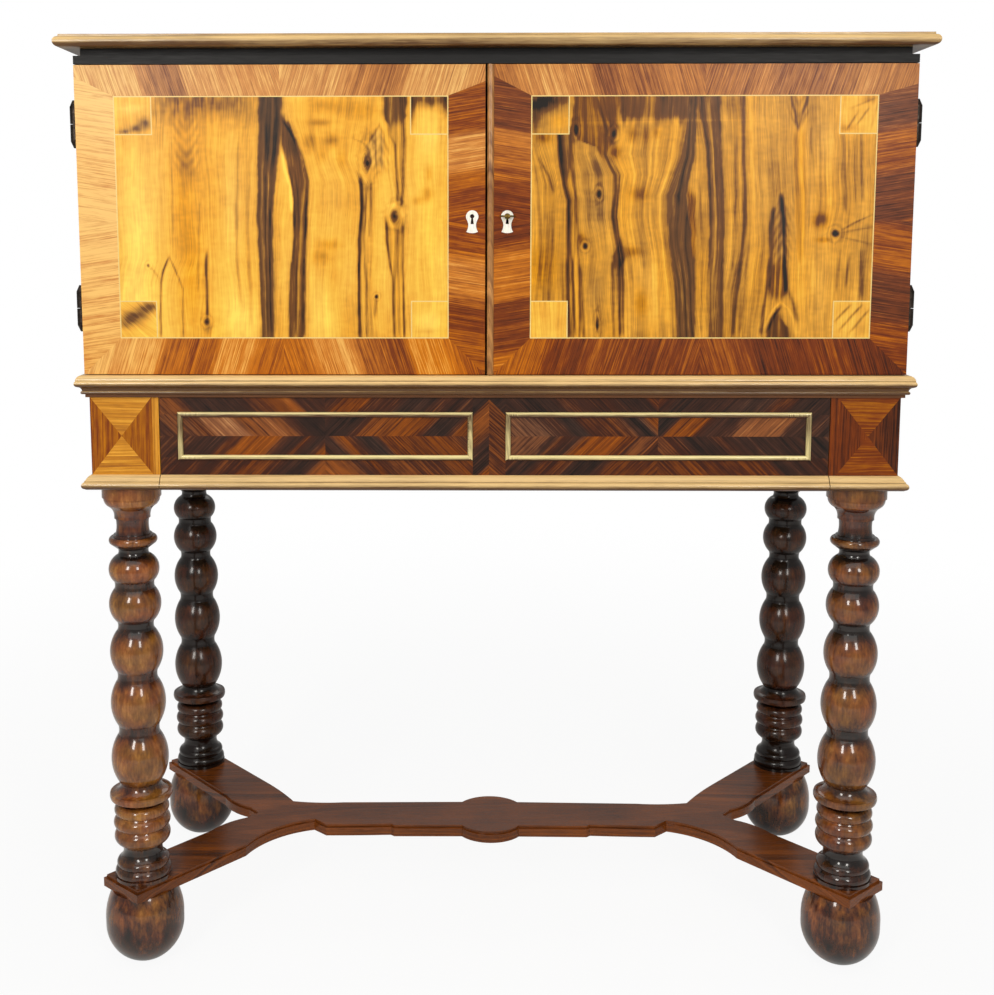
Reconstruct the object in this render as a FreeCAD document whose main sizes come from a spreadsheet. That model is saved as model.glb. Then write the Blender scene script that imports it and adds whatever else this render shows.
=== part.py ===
import FreeCAD, Part

import math
import os

import Sketcher

# Two-door marquetry cabinet on a stand with bobbin-turned legs, in millimetres.
# Z is up, the front faces -Y, X runs to the viewer's right, and the origin lies on the floor
# under the middle of the whole piece. Every driving size is a cell of the sheet "Sizes".

doc = FreeCAD.newDocument("CabinetOnStand")

SIZES = [
    # feet, stretcher and legs
    ("stand_wide", 1014, "width over the faces of the corner posts"),
    ("stand_deep", 458, "depth over the faces of the corner posts"),
    ("post_side", 78, "side of a corner post, and of the quartered square on its face"),
    ("foot_high", 99, "height of a ball foot up to the stretcher"),
    ("foot_radius", 51.5, "largest radius of a ball foot"),
    ("stretcher_thick", 16, "thickness of the flat stretcher boards"),
    ("edge_inset", 3, "how far the stretcher's upper layer is set back from its edge"),
    ("edge_high", 4, "height of that layer"),
    ("pad_half", 38, "half side of the square pad of an arm under a leg"),
    ("arm_reach", 165, "how far an arm runs along X from its leg to where the arms meet"),
    ("fork_inset", 42, "from that meeting place out to the notch between two arms"),
    ("bar_half", 45, "half width of the long stretcher board"),
    ("leg_high", 534, "height of a turned leg between stretcher and post"),
    ("leg_radius", 41, "radius of a leg's widest ring"),
    ("dowel_radius", 12, "radius of the foot's dowel"),
    ("dowel_high", 30, "how far that dowel enters the leg"),
    ("tenon_radius", 15, "radius of the leg's round tenon"),
    ("tenon_high", 40, "how far that tenon enters the post"),
    ("glue_gap", 0.05, "clearance round dowels, tenons and screws"),
    # frieze of the stand
    ("plinth_high", 19, "height of the moulding round the foot of the frieze"),
    ("plinth_out", 11.5, "how far that moulding stands out from the posts"),
    ("frieze_high", 99, "height of the frieze between its two mouldings"),
    ("post_band", 8.5, "plain band of a front post beside its quartered square"),
    ("rail_thick", 22, "thickness of the side and back rails"),
    ("face_veneer", 1.5, "thickness of the veneer on posts and drawer"),
    ("platform_high", 28, "height of the framed platform that carries the case"),
    ("platform_wide", 60, "width of the platform's rails"),
    ("platform_proud", 4, "how far the platform stands out from the posts"),
    ("waist_out", 11, "how far the waist moulding stands out from the platform"),
    # drawer
    ("drawer_gap", 1, "gap beside the drawer"),
    ("drawer_rise", 0.3, "gap between the drawer's sides and its runners"),
    ("drawer_board", 22, "thickness of the drawer front with its veneer"),
    ("drawer_wall", 12, "thickness of the drawer's sides and back"),
    ("drawer_floor", 7, "thickness of the drawer's bottom"),
    ("floor_raise", 5, "from the lower edge of the drawer's sides up to its bottom"),
    ("groove_deep", 4, "depth of the grooves that hold the drawer's bottom"),
    ("drawer_slack", 18, "free space behind the drawer"),
    ("drawer_back_drop", 6, "how much lower than the sides the drawer's back is"),
    ("runner_thick", 12, "thickness of a drawer runner"),
    ("runner_wide", 24, "width of the runner's ledge under the drawer"),
    ("guide_high", 22, "height of the strip that guides the drawer's side"),
    ("panel_end", 22.5, "from the drawer's end to its raised frame"),
    ("panel_middle", 41, "width between the two raised frames"),
    ("panel_shift", -5.5, "how far the middle between the frames lies from the centre line"),
    ("panel_side", 19, "from the drawer's upper and lower edge to a raised frame"),
    ("bead_frame_wide", 6.5, "width of the raised frame's moulding"),
    ("bead_frame_out", 4, "height of the raised frame's moulding"),
    # case
    ("side_thick", 20, "thickness of the case sides"),
    ("case_floor", 22, "thickness of the case bottom"),
    ("case_lid", 20, "thickness of the board that closes the case"),
    ("back_thick", 12, "thickness of the back boards"),
    ("shelf_thick", 16, "thickness of the shelf"),
    ("shelf_rise", 163, "from the case bottom to the underside of the shelf"),
    ("shelf_inset", 30, "from the front edge of the case to the shelf"),
    ("shelf_play", 0.5, "play at the shelf's ends"),
    ("bearer_side", 20, "side of the shelf's bearers"),
    ("cornice_step", 10, "height of the black strip flush with the case"),
    ("cornice_band", 9, "height of the recessed black strip"),
    ("cornice_recess", 7, "how far that strip is set back"),
    ("cornice_wide", 40, "width of the cornice strips"),
    ("top_thick", 15, "thickness of the top board"),
    ("top_over", 19, "how far the top board stands out past the case"),
    ("top_quirk", 2.5, "height and set-back of the small step on the top board's edge"),
    ("top_round", 6, "rounding of the top board's edge"),
    # doors
    ("door_high", 377, "height of the doors"),
    ("door_core", 20, "thickness of a door's core"),
    ("door_veneer", 2, "thickness of the veneer on a door"),
    ("door_gap", 0.5, "gap between the doors and the front edge of the case"),
    ("door_clear", 1, "gap over and under the doors"),
    ("seam_place", 11, "from the centre line to the edge of the left door"),
    ("seam_gap", 2.5, "gap between the doors"),
    ("bead_wide", 8, "width of the closing bead on the right door"),
    ("bead_out", 5, "how far that bead stands out from the core"),
    ("band_outer", 47, "cross-grained border on the hinge side"),
    ("band_inner", 45, "cross-grained border on the meeting side"),
    ("band_upper", 37, "cross-grained border along the top"),
    ("band_lower", 45, "cross-grained border along the bottom"),
    ("string_wide", 1.3, "width of the inlaid stringing"),
    ("corner_square", 44, "side of the squares in the corners of a field"),
    # hinges and screws
    ("hinge_radius", 6, "radius of a hinge barrel"),
    ("hinge_out", 6.5, "from the case side to the hinge axis"),
    ("hinge_half", 29, "half length of a hinge barrel"),
    ("hinge_split", 0.5, "half the gap between the two knuckles"),
    ("finial_high", 8, "length of a barrel's tapered end"),
    ("finial_tip", 2.5, "radius at the end of that taper"),
    ("hinge_upper", 308, "from the foot of the door to the middle of the upper hinge"),
    ("hinge_lower", 81, "from the foot of the door to the middle of the lower hinge"),
    ("leaf_thick", 2, "thickness of the hinge leaves and lock flanges"),
    ("leaf_wide", 22, "width of a hinge leaf on the wood"),
    ("pin_radius", 2.5, "radius of a hinge pin"),
    ("pin_high", 22, "how far a hinge pin stands up in the upper knuckle"),
    ("screw_radius", 1.6, "radius of a screw"),
    ("screw_head", 3, "radius of a screw's head"),
    ("screw_sink", 1.5, "height of a screw's countersunk head"),
    ("screw_long", 12, "length of a screw under its head"),
    # lock, key and escutcheons
    ("key_place", 16, "from the centre line to the key"),
    ("blind_place", 27, "from the centre line to the left escutcheon"),
    ("key_rise", 195, "from the foot of the door to the key"),
    ("shank_radius", 2, "radius of the key's shank"),
    ("pipe_radius", 1.1, "radius of the bore in the key's end"),
    ("pipe_fit", 0.05, "running fit of the drill pin in that bore"),
    ("pipe_deep", 14, "depth of that bore"),
    ("bit_reach", 8, "from the key's axis to the end of its bit"),
    ("bit_thick", 1.6, "thickness of the bit"),
    ("bit_wide", 6, "width of the bit along the shank"),
    ("bow_wide", 20, "width of the key's bow"),
    ("bow_deep", 13, "depth of the bow along the key"),
    ("bow_thick", 2, "thickness of the bow"),
    ("bow_wire", 4, "width of the bow's ring"),
    ("keyhole_radius", 2.6, "radius of the keyhole's round head"),
    ("keyhole_reach", 9.5, "from the key's axis to the foot of the keyhole"),
    ("plate_wide", 15.6, "width of an escutcheon"),
    ("plate_high", 27, "height of an escutcheon"),
    ("plate_thick", 2, "thickness of an escutcheon"),
    ("lock_wide", 56, "width of the lock case"),
    ("lock_high", 70, "height of the lock case"),
    ("lock_deep", 14, "depth of the lock case"),
    ("lock_wall", 2, "wall of the lock case and keep"),
    ("flange_high", 8, "height of the screwed flanges of lock and keep"),
    ("lock_inset", 1, "from the door's edge to the lock case and the keep"),
    ("bolt_high", 8, "height of the lock's bolt"),
    ("bolt_thick", 3.5, "thickness of the lock's bolt, a plain plate"),
    ("bolt_long", 40, "length of the lock's bolt"),
    ("bolt_throw", 9, "travel of the lock's bolt"),
    ("tooth_high", 3, "height of the bolt's teeth beside the bit"),
    ("tooth_wide", 3.5, "width of a tooth"),
    ("tooth_gap", 14, "gap between the two teeth, where the bit passes"),
    ("slide_gap", 0.4, "clearance of sliding iron parts"),
    ("keep_wide", 22, "width of the keep on the left door"),
    ("keep_high", 24, "height of the keep"),
    # surface bolts inside the left door
    ("rod_place", 25, "from the left door's edge to the middle of its bolts"),
    ("rod_wide", 6, "width of a bolt's rod"),
    ("rod_thick", 4, "thickness of a bolt's rod"),
    ("rod_long", 74, "length of a bolt's rod"),
    ("rod_short", 2, "gap between a drawn bolt and the case"),
    ("rod_throw", 12, "travel of a bolt"),
    ("backplate_wide", 18, "width of a bolt's backplate"),
    ("backplate_long", 60, "length of a bolt's backplate"),
    ("backplate_thick", 1.5, "thickness of a bolt's backplate"),
    ("backplate_inset", 8, "from the rod's tip to its backplate"),
    ("staple_wide", 12, "width of the staples that guide a rod"),
    ("staple_high", 6, "height of the staples along the rod"),
    ("staple_wall", 2, "metal of a staple over its rod"),
    ("knob_radius", 3, "radius of a bolt's knob"),
    ("knob_long", 7, "length of a bolt's knob"),
    ("overrun", 1, "how far a cutter passes the face that it opens"),
]

sheet = doc.addObject("Spreadsheet::Sheet", "Sizes")
for row, (alias, number, note) in enumerate(SIZES, start=1):
    sheet.set("A%d" % row, note)
    sheet.set("B%d" % row, str(number))
    sheet.setAlias("B%d" % row, alias)
doc.recompute()


class Length:
    """A size of the sheet, or a sum of such sizes: its number now, and the expression that gives it."""

    def __init__(self, number, text):
        self.number = number
        self.text = text

    def __add__(self, other):
        other = length(other)
        return Length(self.number + other.number, "(%s + %s)" % (self.text, other.text))

    def __sub__(self, other):
        other = length(other)
        return Length(self.number - other.number, "(%s - %s)" % (self.text, other.text))

    def __mul__(self, other):
        other = length(other)
        return Length(self.number * other.number, "(%s * %s)" % (self.text, other.text))

    def __truediv__(self, other):
        other = length(other)
        return Length(self.number / other.number, "(%s / %s)" % (self.text, other.text))

    def __neg__(self):
        return Length(-self.number, "(0 - %s)" % self.text)

    def __radd__(self, other):
        return length(other) + self

    def __rsub__(self, other):
        return length(other) - self

    def __rmul__(self, other):
        return length(other) * self


def length(value):
    """A plain ratio or zero as a Length."""
    if isinstance(value, Length):
        return value
    return Length(float(value), "(%r)" % float(value))


def root(value):
    return Length(math.sqrt(value.number), "sqrt(%s)" % value.text)


class Sheet:
    """The sheet's cells by their aliases."""

    def __getattr__(self, alias):
        return Length(float(sheet.get(alias)), "Sizes." + alias)


cell = Sheet()


def bind(part, name, value):
    part.setExpression(name, length(value).text)


def span(one, other):
    """Two places in rising order."""
    one = length(one)
    other = length(other)
    return (one, other) if one.number <= other.number else (other, one)


# Helpers that make one object each


def box(name, x, y, z):
    """A board between pairs of places along X, Y and Z."""
    part = doc.addObject("Part::Box", name)
    for side, axis, ends in (("Length", "x", x), ("Width", "y", y), ("Height", "z", z)):
        low, high = span(*ends)
        bind(part, side, high - low)
        bind(part, "Placement.Base." + axis, low)
    return part


TURN_FROM_Z = {
    "x": FreeCAD.Rotation(FreeCAD.Vector(0, 1, 0), 90),
    "y": FreeCAD.Rotation(FreeCAD.Vector(1, 0, 0), -90),
    "z": FreeCAD.Rotation(),
}


def place_on_axis(part, axis, ends, centre):
    """Stands a part that rises along Z on an axis, between two places along it."""
    low, high = span(*ends)
    part.Placement = FreeCAD.Placement(FreeCAD.Vector(), TURN_FROM_Z[axis])
    others = [way for way in "xyz" if way != axis]
    bind(part, "Height", high - low)
    bind(part, "Placement.Base." + axis, low)
    for way, value in zip(others, centre):
        bind(part, "Placement.Base." + way, value)
    return part


def rod(name, radius, axis, ends, centre):
    part = doc.addObject("Part::Cylinder", name)
    bind(part, "Radius", radius)
    return place_on_axis(part, axis, ends, centre)


def cone(name, low_radius, high_radius, axis, ends, centre):
    part = doc.addObject("Part::Cone", name)
    bind(part, "Radius1", low_radius)
    bind(part, "Radius2", high_radius)
    return place_on_axis(part, axis, ends, centre)


def joined(name, *parts):
    part = doc.addObject("Part::MultiFuse", name)
    part.Shapes = list(parts)
    return part


def without(name, base, *tools):
    """A part with cutters taken out of it."""
    tool = tools[0]
    if len(tools) > 1:
        tool = joined(name + "_cutters", *tools)
    part = doc.addObject("Part::Cut", name)
    part.Base = base
    part.Tool = tool
    return part


def group(name, *parts):
    """Separate solids under one name."""
    part = doc.addObject("Part::Compound", name)
    part.Links = list(parts)
    return part


def hold(sketch, number, end, u, v):
    """Places one point of a sketch by two distances that are bound to the sheet."""
    for way, value in (("DistanceX", u), ("DistanceY", v)):
        index = sketch.addConstraint(Sketcher.Constraint(way, number, end, value.number))
        sketch.setExpression("Constraints[%d]" % index, value.text)


def drawn(body, role, offset, path):
    """A closed outline on a body's own plane. A stop is (u, v), or (middle u, middle v, u, v) for an arc."""
    sketch = body.newObject("Sketcher::SketchObject", body.Name + "_outline")
    plane = next(plane for plane in body.Origin.OriginFeatures if plane.Role == role)
    sketch.AttachmentSupport = [(plane, "")]
    sketch.MapMode = "FlatFace"
    bind(sketch, "AttachmentOffset.Base.z", offset)
    stops = [[length(value) for value in stop] for stop in path]
    pieces = []
    for before, stop in zip([stops[-1]] + stops[:-1], stops):
        start = FreeCAD.Vector(before[-2].number, before[-1].number, 0)
        end = FreeCAD.Vector(stop[-2].number, stop[-1].number, 0)
        turned_round = False
        if len(stop) == 2:
            number = sketch.addGeometry(Part.LineSegment(start, end))
        else:
            middle = FreeCAD.Vector(stop[0].number, stop[1].number, 0)
            number = sketch.addGeometry(Part.Arc(start, middle, end))
            turned_round = (middle - start).cross(end - middle).z < 0
            point = sketch.addGeometry(Part.Point(middle), True)
            hold(sketch, point, 1, stop[0], stop[1])
            sketch.addConstraint(Sketcher.Constraint("PointOnObject", point, 1, number))
        pieces.append((number, 2, 1) if turned_round else (number, 1, 2))
    for stop, piece, following in zip(stops, pieces, pieces[1:] + pieces[:1]):
        sketch.addConstraint(Sketcher.Constraint("Coincident", piece[0], piece[2], following[0], following[1]))
        hold(sketch, piece[0], piece[2], stop[-2], stop[-1])
    return sketch


def prism(name, role, ends, path):
    """An outline on the XY, XZ or YZ plane, filled between two places along that plane's normal."""
    low, high = span(*ends)
    body = doc.addObject("PartDesign::Body", name)
    sketch = drawn(body, role, -high if role == "XZ_Plane" else low, path)
    pad = body.newObject("PartDesign::Pad", name + "_pad")
    pad.Profile = sketch
    bind(pad, "Length", high - low)
    return body


def turned(name, path, x, y):
    """A piece turned on a lathe: an outline of (radius, height) round an upright axis."""
    body = doc.addObject("PartDesign::Body", name)
    sketch = drawn(body, "XZ_Plane", 0, path)
    lathe = body.newObject("PartDesign::Revolution", name + "_turning")
    lathe.Profile = sketch
    lathe.ReferenceAxis = (sketch, ["V_Axis"])
    bind(body, "Placement.Base.x", x)
    bind(body, "Placement.Base.y", y)
    return body


def rounded(body, radius, chosen):
    """Rounds the edges of a body for which chosen(edge) holds."""
    doc.recompute()
    base = body.Tip
    edges = base.Shape.Edges
    names = ["Edge%d" % (index + 1) for index, edge in enumerate(edges) if chosen(edge)]
    fillet = body.newObject("PartDesign::Fillet", body.Name + "_round")
    fillet.Base = (base, names)
    bind(fillet, "Radius", radius)
    return body


SAME_PLACE = 1e-4


def near(value, place):
    return abs(value - length(place).number) < SAME_PLACE


# Places that follow from the sizes

post_half = cell.stand_wide / 2
front = -cell.stand_deep / 2
back = cell.stand_deep / 2
leg_x = post_half - cell.post_side / 2
leg_y = back - cell.post_side / 2
stretcher_top = cell.foot_high + cell.stretcher_thick
stand_low = stretcher_top + cell.leg_high
frieze_low = stand_low + cell.plinth_high
frieze_top = frieze_low + cell.frieze_high
case_low = frieze_top + cell.platform_high
case_half = post_half + cell.platform_proud
door_front = front - cell.platform_proud
core_front = door_front + cell.door_veneer
door_back = core_front + cell.door_core
case_front = door_back + cell.door_gap
door_low = case_low + cell.door_clear
door_top = door_low + cell.door_high
case_high = door_top + cell.door_clear
cornice_top = case_high + cell.cornice_step + cell.cornice_band
top_high = cornice_top + cell.top_thick
post_inner = post_half - cell.post_side - cell.post_band
side_inner = case_half - cell.side_thick
floor_top = case_low + cell.case_floor
lid_low = case_high - cell.case_lid
back_inner = back - cell.back_thick

SIDES = (("left", -1), ("right", 1))
ENDS = (("front", -1), ("rear", 1))
nodes = []


def node(part):
    """Marks a part as a finished sub-part, written under its own name."""
    part.Label = part.Name
    nodes.append(part)
    return part


# Ball feet: round below, a little drawn in under the stretcher, with a dowel up into the leg

FOOT_SHARES = (0.33, 0.545, 0.813)
FOOT_ROUND_SHARES = (0.83, 0.21, 0.967, 0.78)


def foot(name, x, y):
    radius = cell.foot_radius
    high = cell.foot_high
    flat_share, middle_share, neck_share = FOOT_SHARES
    low_radius, low_high, high_radius, high_high = FOOT_ROUND_SHARES
    dowel_top = stretcher_top + cell.dowel_high
    return turned(name, [
        (0, 0),
        (flat_share * radius, 0),
        (low_radius * radius, low_high * high, radius, middle_share * high),
        (high_radius * radius, high_high * high, neck_share * radius, high),
        (cell.dowel_radius, high),
        (cell.dowel_radius, dowel_top),
        (0, dowel_top),
    ], x, y)


# Legs: bell base, three-bead collar, ring, five bulbs, ring and cup, from the stretcher up.
# A row is (radius, height) or (middle radius, middle height, radius, height), as shares.

LEG_SHARES = (
    (0.915, 0), (0.915, 0.008), (0.87, 0.008), (0.90, 0.019, 0.83, 0.029), (0.80, 0.031),
    (0.84, 0.041, 0.75, 0.051), (0.72, 0.053), (0.63, 0.066, 0.655, 0.083), (0.80, 0.093),
    (0.895, 0.110, 0.80, 0.126), (0.78, 0.129), (0.905, 0.145, 0.79, 0.161), (0.77, 0.164),
    (0.875, 0.178, 0.66, 0.193), (0.72, 0.197), (0.97, 0.207), (1, 0.215, 0.98, 0.224),
    (0.72, 0.232, 0.64, 0.246), (0.905, 0.306, 0.655, 0.373), (0.635, 0.384, 0.655, 0.396),
    (0.865, 0.446, 0.645, 0.510), (0.62, 0.521, 0.64, 0.533), (0.835, 0.582, 0.58, 0.638),
    (0.555, 0.648, 0.58, 0.659), (0.815, 0.706, 0.625, 0.742), (0.61, 0.751, 0.625, 0.760),
    (0.79, 0.791, 0.50, 0.826), (0.465, 0.833, 0.48, 0.841), (0.70, 0.854),
    (0.755, 0.863, 0.70, 0.871), (0.61, 0.871), (0.60, 0.877), (0.54, 0.877),
    (0.50, 0.898, 0.52, 0.917), (0.56, 0.917), (0.56, 0.924), (0.62, 0.939, 0.74, 0.948),
    (0.84, 0.956, 0.875, 0.970), (0.92, 0.970), (0.92, 1),
)


def leg(name, x, y):
    path = []
    for row in LEG_SHARES:
        stop = []
        for index, share in enumerate(row):
            stop.append(stretcher_top + share * cell.leg_high if index % 2 else share * cell.leg_radius)
        path.append(tuple(stop))
    socket = cell.dowel_radius + cell.glue_gap
    socket_top = stretcher_top + cell.dowel_high + cell.glue_gap
    tenon_top = stand_low + cell.tenon_high
    opening = [(0, socket_top), (socket, socket_top), (socket, stretcher_top)]
    tenon = [(cell.tenon_radius, stand_low), (cell.tenon_radius, tenon_top), (0, tenon_top)]
    return turned(name, opening + path + tenon, x, y)


for end, y_sign in ENDS:
    for side, x_sign in SIDES:
        node(leg("leg_%s_%s" % (end, side), x_sign * leg_x, y_sign * leg_y))
node(group("ball_feet", *[
    foot("foot_%s_%s" % (end, side), x_sign * leg_x, y_sign * leg_y)
    for end, y_sign in ENDS for side, x_sign in SIDES
]))

# Stretcher: a long shaped board with a fork at each end, and four arms out to the legs

meeting_x = leg_x - cell.arm_reach
fork_x = meeting_x + cell.fork_inset
arm_long = root(cell.arm_reach * cell.arm_reach + leg_y * leg_y)
arm_dx = cell.arm_reach / arm_long
arm_dy = leg_y / arm_long
outer_along = (leg_x - fork_x - cell.pad_half * arm_dy) / arm_dx
shoulder_y = leg_y - outer_along * arm_dy + cell.pad_half * arm_dx
step_z = stretcher_top - cell.edge_high

# The board's edge as shares of its half length and half width, from the fork to the middle.
FRONT_EDGE_SHARES = (
    (0.89, 1.12, 0.748, 0.53), (0.692, 0.93), (0.56, 0.91, 0.42, 0.86), (0.405, 0.96), (0.12, 0.94),
)
REAR_EDGE_SHARES = ((0.94, 1.80, 0.862, 0.93), (0.76, 0.83, 0.64, 0.86), (0.12, 0.94))
LOBE_SHARE = 1.4


def half_edge(shares, x_sign, y_sign, inset):
    """Stops along one quarter of the board's edge, from the fork inwards."""
    return [
        tuple(y_sign * (share * cell.bar_half - inset) if index % 2 else x_sign * share * fork_x
              for index, share in enumerate(row))
        for row in shares
    ]


def backwards(start, stops):
    """The same stops walked the other way, ending at start."""
    places = [start] + [stop[-2:] for stop in stops]
    middles = [stop[:-2] for stop in stops]
    return [middles[index] + places[index] for index in range(len(stops) - 1, -1, -1)]


def full_edge(shares, y_sign, inset):
    """Stops along one long edge, from the left fork to the right one."""
    shoulder = y_sign * (shoulder_y - inset)
    there = half_edge(shares, -1, y_sign, inset)
    mirror = half_edge(shares, 1, y_sign, inset)
    lobe = (0, y_sign * (LOBE_SHARE * cell.bar_half - inset)) + mirror[-1][-2:]
    return [(-fork_x, shoulder)] + there + [lobe] + backwards((fork_x, shoulder), mirror)


def rear_to_front(stops):
    """The rear edge from right to left."""
    return [stops[-1][-2:]] + backwards(stops[0], stops[1:])


def stepped_board(name, outline):
    """A stretcher board: a full layer, and on it a thin layer that is set back round the edge."""
    return joined(
        name,
        prism(name + "_lower", "XY_Plane", (cell.foot_high, step_z), outline(length(0))),
        prism(name + "_upper", "XY_Plane", (step_z, stretcher_top), outline(cell.edge_inset)),
    )


node(stepped_board("stretcher_bar", lambda inset: full_edge(FRONT_EDGE_SHARES, -1, inset)
                   + rear_to_front(full_edge(REAR_EDGE_SHARES, 1, inset))))

# The inner edge of an arm near the notch, as (along the arm, across it) shares of the arm and pad.
NOTCH_SHARES = ((0.56, -1), (0.70, -1.05, 0.80, -0.86))


def arm(name, x_sign, y_sign):
    def at(along, across):
        x = leg_x - along * arm_dx - across * arm_dy
        y = leg_y - along * arm_dy + across * arm_dx
        return x_sign * x, y_sign * y

    def outline(inset):
        pad = cell.pad_half - inset
        path = [at(-pad, pad), at(-pad, -pad), at(NOTCH_SHARES[0][0] * arm_long, NOTCH_SHARES[0][1] * pad)]
        middle = at(NOTCH_SHARES[1][0] * arm_long, NOTCH_SHARES[1][1] * pad)
        path.append(middle + at(NOTCH_SHARES[1][2] * arm_long, NOTCH_SHARES[1][3] * pad))
        path.append((x_sign * fork_x, y_sign * inset))
        path.append((x_sign * fork_x, y_sign * (shoulder_y - inset)))
        return path

    hole = rod(name + "_hole", cell.dowel_radius + cell.glue_gap, "z",
               (cell.foot_high - cell.overrun, stretcher_top + cell.overrun),
               (x_sign * leg_x, y_sign * leg_y))
    return without(name, stepped_board(name + "_board", outline), hole)


node(group("stretcher_arms", *[
    arm("arm_%s_%s" % (end, side), x_sign, y_sign) for end, y_sign in ENDS for side, x_sign in SIDES
]))

# Frieze of the stand: corner posts over the legs, rails between them and the framed platform

core_face = front + cell.face_veneer


def post(name, x_sign, y_sign):
    inner = post_inner if y_sign < 0 else post_half - cell.post_side
    outer_y = core_face if y_sign < 0 else back
    inner_y = y_sign * (back - cell.post_side)
    block = box(name + "_block", (x_sign * post_half, x_sign * inner), (outer_y, inner_y),
                (stand_low, frieze_top))
    hole = rod(name + "_hole", cell.tenon_radius + cell.glue_gap, "z",
               (stand_low - cell.overrun, stand_low + cell.tenon_high + cell.glue_gap),
               (x_sign * leg_x, y_sign * leg_y))
    return without(name, block, hole)


for side, x_sign in SIDES:
    node(post("front_post_" + side, x_sign, -1))
node(group("rear_posts", *[post("rear_post_" + side, x_sign, 1) for side, x_sign in SIDES]))


def quartered_square(name, x_sign):
    """Four triangles that meet in the middle of a post's face, and the plain band beside them."""
    outer = x_sign * post_half
    inner = x_sign * (post_half - cell.post_side)
    middle = (x_sign * leg_x, (frieze_low + frieze_top) / 2)
    corners = [(outer, frieze_low), (inner, frieze_low), (inner, frieze_top), (outer, frieze_top)]
    pieces = []
    for index, word in enumerate(("foot", "inside", "head", "outside")):
        path = [corners[index], corners[(index + 1) % len(corners)], middle]
        pieces.append(prism("%s_%s" % (name, word), "XZ_Plane", (front, core_face), path))
    pieces.append(box(name + "_band", (inner, x_sign * post_inner), (front, core_face),
                      (frieze_low, frieze_top)))
    return pieces


node(group("post_veneers", *(quartered_square("left_square", -1) + quartered_square("right_square", 1))))

rail_inner = post_half - cell.rail_thick
node(group("side_rails", *[
    box("side_rail_" + side, (x_sign * post_half, x_sign * rail_inner),
        (cell.post_side + front, back - cell.post_side), (stand_low, frieze_top)) for side, x_sign in SIDES
]))
node(box("back_rail", (cell.post_side - post_half, post_half - cell.post_side),
         (back - cell.rail_thick, back), (stand_low, frieze_top)))

platform_front = door_front
platform_x = post_half + cell.platform_proud
platform_z = (frieze_top, case_low)
front_rail_back = platform_front + cell.platform_wide
back_rail_front = back - cell.platform_wide
platform = [
    box("platform_front", (-platform_x, platform_x), (platform_front, front_rail_back), platform_z),
    box("platform_back", (-platform_x, platform_x), (back_rail_front, back), platform_z),
]
for side, x_sign in SIDES:
    platform.append(box("platform_" + side, (x_sign * platform_x, x_sign * (platform_x - cell.platform_wide)),
                        (front_rail_back, back_rail_front), platform_z))
node(group("platform", *platform))


def runner(name, x_sign):
    """A ledge under the drawer's side, its bearing on the side rail and a guide strip on top."""
    ledge_inner = x_sign * (post_inner - cell.runner_wide)
    ledge = x_sign * post_inner
    ledge_z = (frieze_low - cell.runner_thick, frieze_low)
    between_posts = (front + cell.post_side, back - cell.post_side)
    return joined(
        name,
        box(name + "_ledge", (ledge_inner, ledge), (front + cell.drawer_board + 2 * cell.drawer_gap,
                                                    back - cell.rail_thick), ledge_z),
        box(name + "_bearing", (ledge, x_sign * rail_inner), between_posts, ledge_z),
        box(name + "_guide", (ledge, x_sign * (post_inner + cell.runner_thick)), between_posts,
            (frieze_low, frieze_low + cell.guide_high)),
    )


node(group("drawer_runners", runner("left_runner", -1), runner("right_runner", 1)))

# Mouldings. A profile is a list of (out, up) stops: out from the face behind, up from its foot.

WAIST_SHARES = (
    (0.16, 1), (0.62, 0.955, 0.86, 0.80), (0.86, 0.745), (1, 0.62, 0.80, 0.50),
    (0.52, 0.46), (0.36, 0.40, 0.27, 0.30), (0.42, 0.225, 0.27, 0.15), (0, 0.15),
)
PLINTH_SHARES = (
    (0.10, 1), (0.34, 0.90, 0.58, 0.70), (0.72, 0.62), (0.72, 0.56), (1, 0.32, 0.72, 0.09),
    (0.55, 0.03), (0, 0.03),
)


def profile(shares, face, sign, out, foot, high):
    """Moulding stops as places: face is the plane behind, and sign its outward direction."""
    path = []
    for row in shares:
        stop = []
        for index, share in enumerate(row):
            stop.append(foot + share * high if index % 2 else face + sign * share * out)
        path.append(tuple(stop))
    return path


def front_moulding(name, shares, x_ends, face, backing, out, foot, high):
    """A length along the front: its profile stands on the YZ plane."""
    path = profile(shares, face, -1, out, foot, high)
    path[-1] = (backing, path[-1][-1])
    return prism(name, "YZ_Plane", x_ends, path + [(backing, foot + high)])


def side_moulding(name, shares, x_sign, y_ends, face, out, foot, high):
    """A length along a side: its profile stands on the XZ plane."""
    path = profile(shares, x_sign * face, x_sign, out, foot, high)
    return prism(name, "XZ_Plane", y_ends, path + [(x_sign * face, foot + high)])


def corner_cutter(name, x_sign, face_x, face_y, out, ends, of_side):
    """The plan of what lies past a mitre at a front corner, to take off the front or the side length."""
    reach = out + cell.overrun
    inner = (x_sign * (face_x - reach), face_y + reach)
    outer = (x_sign * (face_x + reach), face_y - reach)
    across = reach if of_side else -reach
    third = (x_sign * (face_x - across), face_y - across)
    return prism(name, "XY_Plane", ends, [inner, outer, third])


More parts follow.
